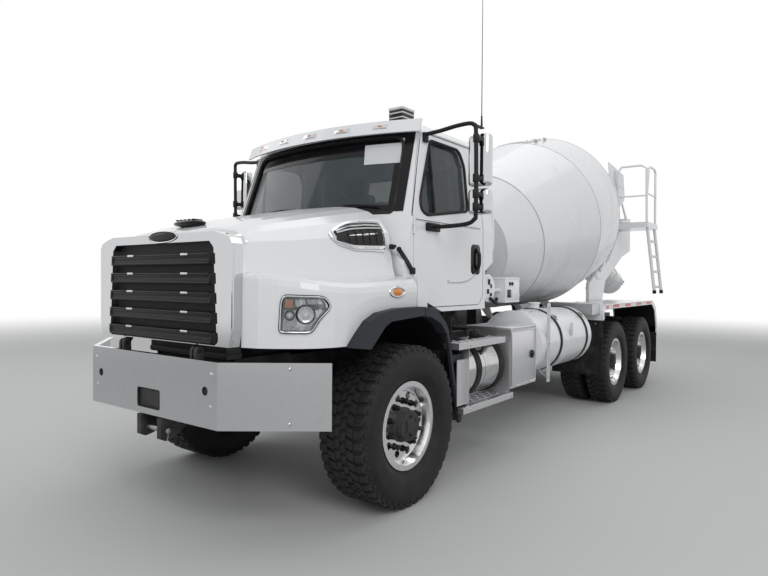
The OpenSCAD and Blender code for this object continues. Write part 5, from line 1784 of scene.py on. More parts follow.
    def mirrors(self, side: Side) -> None:
        """Arms, bright shells and glasses of the mirrors, with the aerial on the left.

        Args:
            side: The side of the truck.
        """
        w = side.word
        body = self.mirror_body(side)
        path = [(0.95, 0.458, 2.7), (1.08, 0.47, 2.712), (1.2, 0.48, 2.73), (1.31, 0.492, 2.738),
                (1.352, 0.5, 2.722), (1.364, 0.508, 2.66), (1.364, 0.515, 2.09), (1.352, 0.512, 2.03),
                (1.3, 0.505, 1.998), (1.15, 0.485, 1.985), (1.026, 0.47, 1.985)]
        arm = Form().pipe(smooth_line(path, 3), 0.016, 12)
        arm.block((cab_side(2.68) + 0.001, 0.436, 2.64), (0.966, 0.489, 2.716), 0.008)
        for z in (2.303, 2.595, 2.092, 2.184):
            arm.block((1.343, 0.498, z + 0.013), (1.385, 0.565, z + 0.047), 0.006)
            arm.rod((1.364, 0.51, z), (1.364, 0.51, z + 0.06), 0.023, bevel=0.004)
        if side is Side.LEFT:
            arm.block((1.342, 0.493, 2.714), (1.374, 0.622, 2.726), 0.003)
            arm.rod((1.358, 0.605, 2.722), (1.358, 0.605, 2.81), 0.0085, 0.006, 16).rod(
                (1.358, 0.605, 2.8), (1.358, 0.605, 3.93), 0.0035, 0.0018, 10)
        arm.sided(side, "mirror_arm", Shop.PLASTIC, body, [f"mirror_{w}"])
        shells = Form().block((1.262, 0.56, 2.283), (1.44, 0.652, 2.675), 0.03, segments=4)
        shells.block((1.262, 0.56, 2.072), (1.44, 0.652, 2.264), 0.03, segments=4)
        shells.sided(side, "mirror_shells", Shop.CHROME, body)
        glass = Form().block((1.276, 0.65, 2.3), (1.426, 0.6555, 2.658), 0.002)
        glass.block((1.276, 0.65, 2.088), (1.426, 0.6555, 2.248), 0.002)
        glass.sided(side, "mirror_glass", Shop.MIRROR, body)

    def mirror_body(self, side: Side) -> str:
        """The CAD body that carries the mirrors of a side."""
        return body_of(frame["nodes"][f"mirror_{side.word}"])[0]

    def inside(self) -> None:
        """Dials, switches, the steering wheel's grip, the seats, the floor mat, pedals and lever."""
        dials, rims = Form(), Form()
        for x, z, r in ((0.4, 1.935, 0.052), (0.56, 1.935, 0.052), (0.48, 1.88, 0.03), (0.3, 1.93, 0.026),
                        (0.66, 1.93, 0.026)):
            dials.rod((x, 0.47, z), (x, 0.486, z), r, bevel=0.002)
            rims.pipe(oval((x, 0.487, z), (r, 0, 0), (0, 0, r), 28), 0.003, 6, True)
        dials.piece("dials", Shop.GLOSS)
        rims.piece("dial_rims", Shop.STEEL)
        knobs = Form().block((-0.3, 0.474, 1.84), (0.1, 0.488, 1.965), 0.004)
        for row in range(3):
            for k in range(6):
                knobs.block((-0.275 + k * 0.06, 0.484, 1.855 + row * 0.036),
                            (-0.235 + k * 0.06, 0.494, 1.88 + row * 0.036), 0.003)
        knobs.block((-0.8, 0.474, 1.82), (-0.4, 0.486, 1.96), 0.006)
        knobs.piece("dash_switches", Shop.TRIM)
        turn = turned(-62, "X")
        boss = Form().block((0.415, 0.545, 1.985), (0.545, 0.655, 2.03), 0.014, turn)
        grip = oval((0.48, 0.6, 2.01), turn @ Vector((0.215, 0, 0)), turn @ Vector((0, 0.215, 0)), 48)
        boss.pipe(grip, 0.0185, 10, True)
        boss.piece("steering_wheel_grip", Shop.TRIM)
        for x, w in ((0.48, "left"), (-0.48, "right")):
            pad = Form().block((x - 0.252, 0.703, 1.65), (x + 0.252, 1.227, 1.765), 0.045, segments=4)
            lean = turned(-11.5, "X")
            back = Form().block((x - 0.25, 1.21, 1.73), (x + 0.25, 1.325, 2.44), 0.045, lean, 4)
            head = Form().block((x - 0.14, 1.32, 2.44), (x + 0.14, 1.42, 2.61), 0.035, lean, 4)
            pad.joined(back).joined(head)
            obj = pad.piece(f"seat_cushions_{w}", Shop.CLOTH, replaces=["seats"] if w == "left" else [])
            base = Form().block((x - 0.18, 0.775, 1.386), (x + 0.18, 1.175, 1.655), 0.02)
            for z in (1.44, 1.48, 1.52, 1.56, 1.6):
                base.block((x - 0.186, 0.769, z), (x + 0.186, 1.181, z + 0.016), 0.006)
            base.piece(f"seat_base_{w}", Shop.RUBBER)
        mat = Form().block((-0.93, 0.17, 1.3855), (0.93, 1.3, 1.392), 0.002)
        for k in range(24):
            mat.block((-0.9 + k * 0.078, 0.2, 1.391), (-0.88 + k * 0.078, 1.27, 1.396))
        mat.piece("floor_mat", Shop.RUBBER)
        lever = Form().pipe([(0.05, 0.7, 1.39), (0.06, 0.74, 1.75)], 0.01, 10).ball((0.06, 0.742, 1.77),
                                                                                    0.026)
        for x, y in ((0.38, 0.3), (0.5, 0.3), (0.64, 0.32)):
            lever.block((x - 0.03, y, 1.45), (x + 0.03, y + 0.012, 1.56), 0.004, turned(25, "X"))
            lever.pipe([(x, y, 1.5), (x, 0.16, 1.54)], 0.006, 8)
        lever.piece("pedals_and_lever", Shop.PLASTIC)

    def build(self) -> None:
        """Makes every piece of the cab."""
        self.windscreen()
        self.roof()
        for side in Side:
            self.door(side)
            self.mirrors(side)
        self.inside()


@dataclass
class Flanks:
    """Tanks, steps, boxes and the control gear beside the frame. A tank's sizes are x, z and radius."""

    fuel_tank: tuple[float, float, float] = (0.91, 0.835, 0.245)
    water_tank: tuple[float, float, float] = (0.868, 0.945, 0.33)
    air_tank: tuple[float, float, float] = (-0.64, 0.93, 0.1395)
    can: tuple[float, float, float] = (0.822, 1.7, 1.505)

    def fuel(self) -> None:
        """Tank seams, cap, strap bolts and the brace over the tank."""
        x, z, r = self.fuel_tank
        seams = Form()
        for y in (0.772, 1.105, 1.438):
            seams.band((y - 0.005, y + 0.005), (r - 0.003, r + 0.003), (x, 0, z), (0, 1, 0), 72)
        for y, way in ((0.75, -1), (1.46, 1)):
            seams.spun([(y, r - 0.045), (y + way * 0.004, r - 0.06), (y + way * 0.004, 0.0)], (x, 0, z),
                       (0, 1, 0), 48)
        seams.piece("fuel_tank_seams", Shop.ALLOY)
        cap = Form().rod((x + 0.088, 1.18, z + r + 0.006), (x + 0.1045, 1.18, z + r + 0.058), 0.058, 0.052,
                         32, 0.006)
        cap.rod((x + 0.1035, 1.18, z + r + 0.056), (x + 0.108, 1.18, z + r + 0.07), 0.03, 0.026, 24, 0.003)
        for k in range(8):
            a = k * tau / 8
            c = Vector((x + 0.097, 1.18 + 0.057 * sin(a), z + r + 0.032 + 0.014 * cos(a)))
            cap.ball(c, 0.009, rings=6)
        cap.piece("fuel_cap", Shop.PLASTIC)
        bolts = Form()
        for y in (0.9875, 1.3995):
            bolts.block((x + 0.1, y - 0.018, z + 0.226), (x + 0.135, y + 0.018, z + 0.246), 0.003)
            bolts.rod((x + 0.118, y, z + 0.19), (x + 0.118, y, z + 0.262), 0.007, sides=12)
            bolts.bolts([(x + 0.118, y, z + 0.246)], (0, 0, 1), 0.011)
        bolts.piece("tank_strap_bolts", Shop.STEEL)
        brace = Form().pipe([(1.13, 1.135, 1.046), (1.115, 1.1, 0.985), (1.115, 1.04, 0.925)], 0.012, 8)
        brace.block((1.105, 0.95, 0.9), (1.125, 1.055, 0.935), 0.004)
        brace.piece("step_brace", Shop.FRAME)

    def steps(self) -> None:
        """Folded edges, teeth and bolts of the steps, alike on both sides."""
        trim, teeth = Form(), Form()
        for x0, x1, y0, y1, z in ((1.075, 1.215, 0.545, 1.345, 1.09), (0.99, 1.215, 0.725, 1.513, 0.585)):
            trim.pipe([(x1 - 0.004, y0 + 0.004, z), (x1 - 0.004, y1 - 0.004, z)], 0.005, 8)
            trim.pipe([(x0 + 0.004, y0 + 0.004, z), (x1 - 0.004, y0 + 0.004, z)], 0.004, 8)
            trim.pipe([(x1 - 0.003, y0 + 0.004, z - 0.044), (x1 - 0.003, y1 - 0.004, z - 0.044)], 0.003, 8)
            for k in range(int((y1 - y0 - 0.08) / 0.055)):
                for j in range(int((x1 - x0 - 0.03) / 0.05)):
                    c = Vector((x0 + 0.035 + j * 0.05, y0 + 0.05 + k * 0.055, z))
                    turn = turned(45 if (j + k) % 2 else -45, "Z")
                    teeth.block(c - Vector((0.015, 0.004, 0.002)), c + Vector((0.015, 0.004, 0.0025)), 0,
                                turn)
        panel = [(1.171, 0.597, 0.958), (1.171, 0.597, 0.602), (1.171, 0.733, 0.602), (1.171, 0.733, 0.958)]
        trim.pipe(panel, 0.004, 8, True).pipe([(1.211, 0.624, 0.585), (1.211, 0.725, 0.585)], 0.005, 8)
        trim.bolts([(1.216, 0.73, 1.068), (1.216, 0.73, 0.562), (1.216, 1.469, 0.562)], (1, 0, 0), 0.008,
                   0.006)
        trim.mirrored().piece("step_edges", Shop.ALLOY)
        teeth.mirrored().piece("step_teeth", Shop.ALLOY)

    def boxes(self) -> None:
        """Latch and hinges of the tool box, covers and pulls of the boxes, air tank bands and ends."""
        lid = Form().block((0.757, 1.471, 1.138), (1.209, 2.034, 1.164), 0.006)
        lid.block((1.2045, 1.497, 0.64), (1.2095, 2.008, 1.12), 0.002)
        lid.piece("toolbox_door", Shop.PLATE)
        frame_edge = Form()
        door = rounded([(1.21, 1.495, 0.638), (1.21, 2.01, 0.638), (1.21, 2.01, 1.122), (1.21, 1.495, 1.122)],
                       0.02)
        frame_edge.pipe(door, 0.004, 8, True)
        for y in (1.6, 1.9):
            frame_edge.rod((1.212, y - 0.03, 0.634), (1.212, y + 0.03, 0.634), 0.007)
        frame_edge.piece("toolbox_trim", Shop.ALLOY)
        latch = Form().rod((1.208, 1.93, 0.89), (1.218, 1.93, 0.89), 0.04, bevel=0.003)
        latch.block((1.214, 1.918, 0.858), (1.224, 1.942, 0.922), 0.004)
        latch.spun([(1.216, 0.022), (1.222, 0.026), (1.222, 0.033), (1.216, 0.036)], (0, 1.93, 0.89),
                   (1, 0, 0), 32, True)
        latch.piece("toolbox_latch", Shop.GLOSS)
        far = Form().block((-1.07, 0.74, 1.026), (-0.655, 1.455, 1.05), 0.006)
        far.block((-1.0715, 0.77, 0.64), (-1.0645, 1.425, 1.01), 0.002)
        far.block((-1.197, 1.555, 1.112), (-0.695, 2.205, 1.138), 0.006)
        for k in range(9):
            far.block((-1.196, 1.62 + k * 0.058, 0.72), (-1.189, 1.655 + k * 0.058, 1.04), 0.002)
        far.piece("far_box_covers", Shop.PLATE)
        bands = Form()
        x, z, r = self.air_tank
        for y in (2.56, 2.88, 3.22):
            bands.band((y, y + 0.03), (r, 0.144), (x, 0, z), (0, 1, 0))
        for y in (2.505, 3.295):
            bands.ball((x, y, z), 0.138, (1, 0.14, 1), 14)
        bands.rod((-0.78, 1.85, 1.125), (-0.78, 1.85, 1.262), 0.068, bevel=0.002)
        bands.piece("air_tank_bands", Shop.FRAME)
        pulls = Form()
        for y in (0.9, 1.3):
            pulls.pipe(smooth_line([(-1.07, y - 0.04, 0.97), (-1.09, y - 0.03, 0.965),
                                    (-1.09, y + 0.03, 0.965),
                                    (-1.07, y + 0.04, 0.97)], 3), 0.005, 8)
        pulls.piece("battery_box_pulls", Shop.RUBBER)

    def water(self) -> None:
        """Seams, lugs and filler of the water tank, its sight board and tube, strap bolts and gauge plate."""
        x, z, r = self.water_tank
        seams = Form()
        for y in (2.205, 2.94, 3.675):
            seams.spun([(y - 0.006, r - 0.003), (y - 0.002, r + 0.003), (y + 0.002, r + 0.003),
                        (y + 0.006, r - 0.003)],
                       (x, 0, z), (0, 1, 0), 96, True)
        for y in (2.36, 3.1):
            seams.sheet([(x + 0.02, y, z + r - 0.006), (x + 0.13, y, z + r - 0.04),
                         (x + 0.13, y, z + r + 0.006),
                         (x + 0.02, y, z + r + 0.012)], (0, 0.012, 0), 0.002)
        seams.rod((0.8, 2.94, z + r - 0.03), (0.8, 2.94, z + r + 0.05), 0.055, bevel=0.006)
        seams.rod((0.8, 2.94, z + r + 0.045), (0.8, 2.94, z + r + 0.068), 0.068, bevel=0.006)
        seams.piece("water_tank_seams", Shop.WHITE)
        Form().block((1.194, 2.325, 0.567), (1.206, 2.395, 1.357), 0.003).piece("sight_board", Shop.SIGHT)
        pipe = Form().pipe([(1.21, 2.342, 0.6), (1.21, 2.342, 1.33)], 0.006, 10)
        for clip in (0.62, 0.95, 1.31):
            pipe.block((1.196, 2.33, clip - 0.012), (1.217, 2.354, clip + 0.012), 0.003)
        pipe.pipe([(1.205, 2.342, 0.6), (1.13, 2.342, 0.66), (1.1, 2.342, 0.72)], 0.01, 8)
        pipe.pipe([(1.205, 2.342, 1.33), (1.1, 2.342, 1.3), (1.0, 2.342, 1.262)], 0.01, 8)
        pipe.piece("sight_tube", Shop.CLEAR)
        straps = Form()
        for y in (2.725, 3.525):
            straps.block((1.105, y - 0.02, 1.18), (1.14, y + 0.02, 1.215), 0.003, turned(45, "Y"))
            straps.rod((1.09, y, 1.225), (1.155, y, 1.165), 0.007, sides=12)
        straps.piece("water_strap_bolts", Shop.STEEL)
        plate = Form().block((1.196, 2.985, 0.985), (1.204, 3.045, 1.125), 0.003)
        plate.block((1.203, 3.02, 1.02), (1.208, 3.04, 1.1), 0.001)
        plate.piece("blank_gauge_plate", Shop.CARD)

    def controls(self) -> None:
        """The round white can, its hose and the control box's details behind the cab."""
        can = Form().spun([(0.0, 0.0), (0.0, 0.1215), (0.01, 0.1315), (0.042, 0.1315), (0.05, 0.1215),
                           (0.056, 0.0)],
                          self.can, (1, 0, 0), 48)
        can.piece("filter_can", Shop.WHITE)
        face = Form()
        for dy, dz, wy, wz in ((-0.01, 0.06, 0.016, 0.026), (0.03, 0.02, 0.012, 0.018),
                               (-0.03, -0.03, 0.016, 0.022),
                               (0.03, -0.06, 0.014, 0.016)):
            face.block((0.874, 1.7 + dy - wy, 1.505 + dz - wz), (0.884, 1.7 + dy + wy, 1.505 + dz + wz),
                       0.003)
        face.pipe(smooth_line([(0.887, 1.695, 1.41), (0.897, 1.76, 1.375), (0.872, 1.86, 1.36),
                               (0.82, 1.95, 1.366),
                               (0.8, 2.004, 1.4)], 5), 0.017, 10)
        face.piece("filter_fittings", Shop.RUBBER)
        box = Form().block((0.709, 2.001, 1.59), (0.897, 2.339, 1.612), 0.006)
        box.block((0.892, 2.021, 1.382), (0.899, 2.315, 1.58), 0.003)
        for z in (1.43, 1.54):
            box.rod((0.893, 2.323, z - 0.022), (0.893, 2.323, z + 0.022), 0.007)
        box.piece("control_box_lid", Shop.WHITE)
        knobs = Form()
        for y in (2.095, 2.15):
            knobs.block((0.898, y - 0.017, 1.53), (0.905, y + 0.017, 1.566), 0.003)
            knobs.rod((0.903, y, 1.548), (0.915, y, 1.548), 0.008, bevel=0.002)
        knobs.block((0.8985, 2.04, 1.41), (0.901, 2.13, 1.49), 0.001)
        knobs.piece("control_knobs", Shop.GLOSS)
        arm = Form().pipe([(0.825, 1.765, 1.485), (0.825, 2.006, 1.485)], 0.018, 10)
        arm.block((0.72, 1.63, 1.375), (0.824, 1.77, 1.415), 0.006)
        arm.pipe([(0.74, 1.7, 1.385), (0.6, 1.9, 1.375), (0.5, 2.09, 1.375)], 0.02, 10)
        arm.piece("filter_bracket", Shop.WHITE)
        grab = Form().pipe(smooth_line([(0.945, 1.525, 2.36), (0.972, 1.537, 2.33), (0.985, 1.541, 2.1),
                                        (0.985, 1.541, 1.92), (0.975, 1.537, 1.84), (0.955, 1.523, 1.8)], 4),
                           0.013, 10)
        grab.mirrored().piece("cab_grab_handles", Shop.WHITE)

    def build(self) -> None:
        """Makes every piece beside the frame."""
        self.fuel()
        self.steps()
        self.boxes()
        self.water()
        self.controls()


@dataclass
class Underside:
    """Bolts, springs' clamps, brakes, dampers and pipes on the frame and axles."""

    spring_x: float = 0.393
    beam_x: float = 0.505
    chamber_x: float = 0.33

    def rails(self) -> None:
        """Bolt heads and pipes along the rails."""
        bolts = Form()
        places = [(0.432, y / 100, z) for y in range(-80, 690, 22) for z in (0.86, 0.99)]
        bolts.bolts([p for p in places if not 4.9 < p[1] < 5.8], (1, 0, 0), 0.01, 0.008)
        bolts.mirrored().piece("rail_bolts", Shop.FRAME)
        pipes = Form()
        for x, z, r in ((0.405, 0.935, 0.01), (0.392, 0.905, 0.008), (0.398, 0.96, 0.007)):
            pipes.pipe(smooth_line([(x, 0.3, z), (x, 1.8, z - 0.01), (x, 3.2, z), (x, 4.6, z - 0.012),
                                    (x, 6.0, z)], 6), r, 8)
        pipes.mirrored().piece("air_lines", Shop.RUBBER)

    def front_axle(self) -> None:
        """Clamps, pins and dampers of the front springs."""
        form, x = Form(), self.spring_x
        for y in (-0.055, 0.055):
            for dx in (-0.046, 0.046):
                form.rod((x + dx, y, 0.43), (x + dx, y, 0.672), 0.01, sides=12)
                form.bolts([(x + dx, y, 0.436)], (0, 0, -1), 0.014, 0.016)
        form.block((x - 0.06, -0.08, 0.655), (x + 0.06, 0.08, 0.682), 0.004)
        for y in (-0.7, 0.7):
            form.rod((x - 0.055, y, 0.735), (x + 0.055, y, 0.735), 0.022, bevel=0.002)
        form.rod((0.5, 0.1, 0.47), (0.455, 0.16, 0.78), 0.03).rod((0.48, 0.128, 0.6), (0.452, 0.163, 0.8),
                                                                  0.036)
        form.rod((0.46, 0.16, 0.76), (0.4, 0.16, 0.79), 0.014)
        form.mirrored().piece("front_spring_clamps", Shop.FRAME)

    def rear_axles(self) -> None:
        """Brake chambers, axle bolts, shaft yokes and clamps at the rear, and the torque rods."""
        form = Form()
        for y in REAR_AXLES:
            ring = Form().bolts([(0.0, 0.0, 0.145)], (0, 1, 0), 0.011, 0.01)
            ring.around(12, (0, 0, 0), (0, 1, 0))
            bmesh.ops.translate(ring.bm, vec=(0, y - 0.168, REAR_TYRE), verts=ring.bm.verts[:])
            form.joined(ring)
            for s in (1, -1):
                chamber = [(0.0, 0.0), (0.0, 0.07), (0.055, 0.082), (0.06, 0.09), (0.07, 0.09),
                           (0.075, 0.082),
                           (0.15, 0.078), (0.17, 0.06), (0.172, 0.0)]
                form.spun(chamber, (s * self.chamber_x, y - 0.105, 0.7), (0, -1, 0.2), 32)
                form.rod((s * self.chamber_x, y - 0.11, 0.7), (s * 0.34, y, 0.6), 0.014)
                x = s * self.beam_x
                form.block((x - 0.055, y - 0.095, 0.585), (x + 0.055, y + 0.095, 0.612), 0.006)
                for dy in (-0.08, 0.08):
                    for dx in (-0.043, 0.043):
                        form.rod((x + dx, y + dy, 0.4), (x + dx, y + dy, 0.628), 0.009, sides=10)
            for dy in (-0.345, -0.32):
                form.rod((0, y + dy, 0.547), (0, y + dy + 0.018, 0.547), 0.098, bevel=0.003)
        form.piece("rear_axle_fittings", Shop.IRON)
        rods = Form()
        for s in (1, -1):
            for y0, y1 in ((4.76, 5.3), (5.97, 5.42)):
                rods.rod((s * 0.3, y0, 0.61), (s * 0.3, y1, 0.76), 0.024)
            for y in (4.76, 5.3, 5.42, 5.97):
                z = 0.61 if y in (4.76, 5.97) else 0.76
                rods.ball((s * 0.3, y, z), 0.042, rings=8)
        rods.block((-0.42, 5.28, 0.735), (0.42, 5.44, 0.79), 0.008)
        rods.piece("torque_rods", Shop.FRAME)

    def engine(self) -> None:
        """Ribs and fan of the engine's block, and the radiator's core, tanks and hose."""
        form = Form()
        for k in range(6):
            form.block((-0.245, -0.62 + k * 0.105, 1.69), (0.245, -0.545 + k * 0.105, 1.725), 0.01)
            for s in (1, -1):
                form.block((s * 0.3 - 0.012, -0.62 + k * 0.105, 1.15),
                           (s * 0.3 + 0.012, -0.55 + k * 0.105, 1.6), 0.006)
        form.piece("engine_ribs", Shop.GREY)
        fan = Form()
        fan.block((-0.045, -0.8, 1.42), (0.045, -0.784, 1.66), 0.004, turned(22, "Z"))
        fan.around(8, (0, -0.79, 1.38), (0, 1, 0)).rod((0, -0.83, 1.38), (0, -0.7, 1.38), 0.06, bevel=0.004)
        fan.piece("cooling_fan", Shop.PLASTIC)
        Form().block((-0.4, -1.004, 1.1), (0.4, -1.0005, 1.66)).piece("radiator_core", Shop.WIRE)
        tanks = Form().block((-0.436, -1.01, 1.66), (0.436, -0.89, 1.715),
                             0.012).block((-0.436, -1.01, 1.062), (0.436, -0.89, 1.1), 0.01)
        tanks.pipe(smooth_line([(0.25, -0.9, 1.62), (0.26, -0.8, 1.66), (0.2, -0.72, 1.6),
                                (0.12, -0.69, 1.56)], 4), 0.032, 12)
        tanks.piece("radiator_tanks", Shop.GREY)

    def build(self) -> None:
        """Makes every piece below."""
        self.rails()
        self.front_axle()
        self.rear_axles()
        self.engine()


@dataclass
class Mixer:
    """Drum welds, blades, track, hopper, ladder, chutes and rear lamps."""

    foot: tuple[float, float, float] = (0.0, 4.292, 2.341)
    tilt: float = 14.6
    rows: tuple[tuple[float, float], ...] = (
        (-1.592, 0.56), (-1.172, 0.825), (0.0, 1.106), (0.823, 1.112), (1.583, 0.84), (2.253, 0.545))

    @property
    def axis(self) -> Vector:
        """The drum's axis, towards its mouth."""
        return Vector((0, cos(radians(self.tilt)), sin(radians(self.tilt))))

    @property
    def up(self) -> Vector:
        """Straight across the axis, upwards."""
        return Vector((1, 0, 0)).cross(self.axis)

    def out(self, angle: float) -> Vector:
        """Away from the axis, at an angle in degrees counted from up towards +x."""
        return self.up * cos(radians(angle)) + Vector((1, 0, 0)) * sin(radians(angle))

    def radius(self, s: float) -> float:
        """Radius of the drum's face.

        Args:
            s: Place along the axis.

        Returns:
            The radius.
        """
        for (a, ra), (b, rb) in zip(self.rows, self.rows[1:]):
            if a <= s <= b:
                return ra + (rb - ra) * (s - a) / (b - a)
        return self.rows[-1][1]

    def on(self, s: float, angle: float, off: float = 0.0) -> Vector:
        """A place on the drum's face, its angle counted in degrees from straight up towards +x."""
        return Vector(self.foot) + self.axis * s + self.out(angle) * (self.radius(s) + off)

    def drum(self) -> None:
        """Weld beads of the shell, the hatch, the track's face, the mouth's ring, head bolts and blades."""
        weld = Form()
        for s in (-1.172, 0.0, 0.823, 1.583):
            r = self.radius(s)
            weld.spun([(s - 0.01, r - 0.006), (s - 0.004, r + 0.0025), (s + 0.004, r + 0.0025),
                       (s + 0.01, r - 0.006)],
                      self.foot, self.axis, 120, True)
        for s0, s1, a in ((-1.16, -0.01, 200), (0.01, 0.81, 150), (0.83, 1.44, 215), (-1.58, -1.18, 170)):
            weld.pipe([self.on(s0 + (s1 - s0) * k / 8, a, -0.002) for k in range(9)], 0.005, 8)
        weld.piece("drum_welds", Shop.SEAM, "drum")
        hatch = Form().patch(10, 8, lambda s, t: self.on(0.12 + 0.46 * s, -14 + 24 * t, 0.016), 0.014)
        for s, a in ((0.15, -12.5), (0.15, 8.5), (0.55, -12.5), (0.55, 8.5), (0.35, -12.5), (0.35, 8.5)):
            p = self.on(s, a, 0.014)
            hatch.bolts([p], p - Vector(self.foot) - self.axis * s, 0.013, 0.014)
        hatch.piece("drum_hatch", Shop.DRUM, "drum")
        lug = Form()
        for s in (0.2, 0.5):
            p = self.on(s, 14, -0.004)
            lug.block(p - Vector((0.006, 0.045, 0.02)), p + Vector((0.006, 0.045, 0.045)), 0.003)
        lug.piece("hatch_lugs", Shop.STEEL, "drum")
        track = Form().band((1.461, 1.545), (0.8885, 0.8925), self.foot, self.axis, 144)
        track.piece("track_face", Shop.STEEL, "drum")
        mouth = Form().spun([(2.232, 0.534), (2.232, 0.562), (2.252, 0.562), (2.2525, 0.534)], self.foot,
                            self.axis, 96, True)
        mouth.piece("mouth_ring", Shop.STEEL, "drum")
        crest, sole = self.on(-1.592, 0), self.on(-1.592, 180)
        head = Form().bolts([crest - self.axis * 0.001 - (crest - sole) * 0.18],
                            -self.axis, 0.016, 0.016)
        head.around(16, self.foot, self.axis)
        head.piece("drum_head_bolts", Shop.STEEL, "drum")
        blades = Form()
        for way in (self.out(0), self.out(180)):
            def spot(s: float, t: float, way: Vector = way) -> Vector:
                """A place on a blade that winds inwards from the mouth."""
                d = 2.18 - 1.5 * s
                turn = Matrix.Rotation(tau * 0.9 * s, 3, self.axis)
                r = self.radius(d) - 0.018
                return Vector(self.foot) + self.axis * d + (turn @ way) * (r - 0.2 * t)
            blades.patch(60, 4, spot, 0.008)
        blades.piece("drum_blades", Shop.STEEL, "drum")

    def drive(self) -> None:
        """Motor, oil cooler, hoses and bolts of the drum's drive."""
        base = Vector(self.foot) + self.axis * -1.925
        form = Form().rod(base - self.axis * 0.26, base + self.axis * 0.01, 0.105, bevel=0.008)
        form.rod(base - self.axis * 0.34, base - self.axis * 0.25, 0.072, bevel=0.006)
        ring = Form().bolts([base + self.up * 0.19], -self.axis, 0.013, 0.014)
        ring.around(12, base, self.axis)
        form.joined(ring)
        form.block((0.1, 2.28, 1.86), (0.2, 2.42, 1.98), 0.01)
        form.piece("drum_motor", Shop.GREY)
        hose = Form()
        for dx, dz in ((0.045, 0.03), (-0.045, 0.03), (0.0, -0.05)):
            a = base - self.axis * 0.3 + Vector((dx, 0, dz))
            hose.pipe(smooth_line([a, a + Vector((dx, -0.1, 0.0)), (dx * 3, 1.98, 1.55), (dx * 4, 2.02, 1.2),
                                   (dx * 4, 2.1, 1.02)], 6), 0.019, 10)
        hose.piece("drum_hoses", Shop.RUBBER)
        cooler = Form().block((-0.225, 2.3, 1.12), (0.225, 2.4, 1.5), 0.012)
        for k in range(14):
            cooler.block((-0.2, 2.292, 1.135 + k * 0.026), (0.2, 2.302, 1.145 + k * 0.026), 0.001)
        cooler.piece("oil_cooler", Shop.FRAME)

    def rollers(self) -> None:
        """Steel side faces and end nuts of the two rollers."""
        form = Form()
        for s in (1, -1):
            p = Vector(self.foot) + self.axis * 1.503 + self.out(180 - 32 * s) * (0.89 + 0.1203)
            for t in (-0.055, 0.05):
                form.rod(p + self.axis * t, p + self.axis * (t + 0.005), 0.1, bevel=0.001)
            form.rod(p + self.axis * 0.111, p + self.axis * 0.118, 0.036, sides=6, bevel=0.001)
        form.piece("roller_covers", Shop.STEEL)

    def hopper(self) -> None:
        """Rolled edges and ribs of hopper, collector and pedestal, and the mouth's rubber skirt."""
        edge = Form()
        for s in (1, -1):
            line = [(s * 0.5525, 6.442, 3.489), (s * 0.5525, 7.25, 3.4), (s * 0.5525, 7.338, 3.06)]
            edge.pipe(line, 0.011, 8)
            edge.pipe([(s * 0.561, 6.62, 2.9), (s * 0.561, 7.3, 3.02)], 0.01, 8)
            edge.pipe([(s * 0.561, 6.6, 3.16), (s * 0.561, 7.26, 3.2)], 0.01, 8)
            edge.sheet([(s * 0.56, 6.8, 2.8), (s * 0.6, 6.8, 2.8), (s * 0.6, 6.8, 3.42),
                        (s * 0.56, 6.8, 3.42)],
                       (0, 0.01, 0), 0.001)
        edge.pipe([(-0.55, 7.25, 3.4), (0.55, 7.25, 3.4)], 0.011, 8)
        edge.piece("hopper_edges", Shop.DRUM)
        skirt = Form()
        mid = Vector(self.foot) + self.axis * 2.15

        def spot(s: float, t: float) -> Vector:
            """A place on the rubber skirt round the mouth."""
            return mid + self.axis * 0.15 * t + self.out(-74 + 148 * s) * 0.634
        skirt.patch(36, 3, spot, 0.006)
        skirt.piece("mouth_skirt", Shop.RUBBER)
        ribs = Form()
        for s in (1, -1):
            ribs.pipe([(s * 0.4715, 6.68, 2.49), (s * 0.4715, 7.29, 2.625), (s * 0.4715, 7.49, 2.495),
                       (s * 0.4715, 7.49, 2.14)], 0.009, 8)
            for y, z0, z1 in ((6.86, 2.33, 2.52), (7.1, 2.22, 2.57)):
                ribs.block((s * 0.478 - 0.008, y, z0), (s * 0.478 + 0.008, y + 0.03, z1), 0.003)
        ribs.piece("collector_ribs", Shop.DRUM)
        pedestal = Form()
        for s in (1, -1):
            x = s * 0.5575
            pedestal.pipe([(x, 5.53, 1.1), (x, 5.53, 1.55), (x, 5.8, 1.68), (x, 6.5, 1.925), (x, 7.23, 2.605),
                           (x, 7.72, 2.69)], 0.009, 8)
            pedestal.bolts([(s * 0.556, y, 1.075) for y in (5.6, 5.76, 5.92, 6.04)], (s, 0, 0), 0.014, 0.01)
            pedestal.block((x - 0.006, 5.9, 1.62), (x + 0.006, 6.16, 1.66), 0.003)
        pedestal.piece("pedestal_edges", Shop.WHITE)

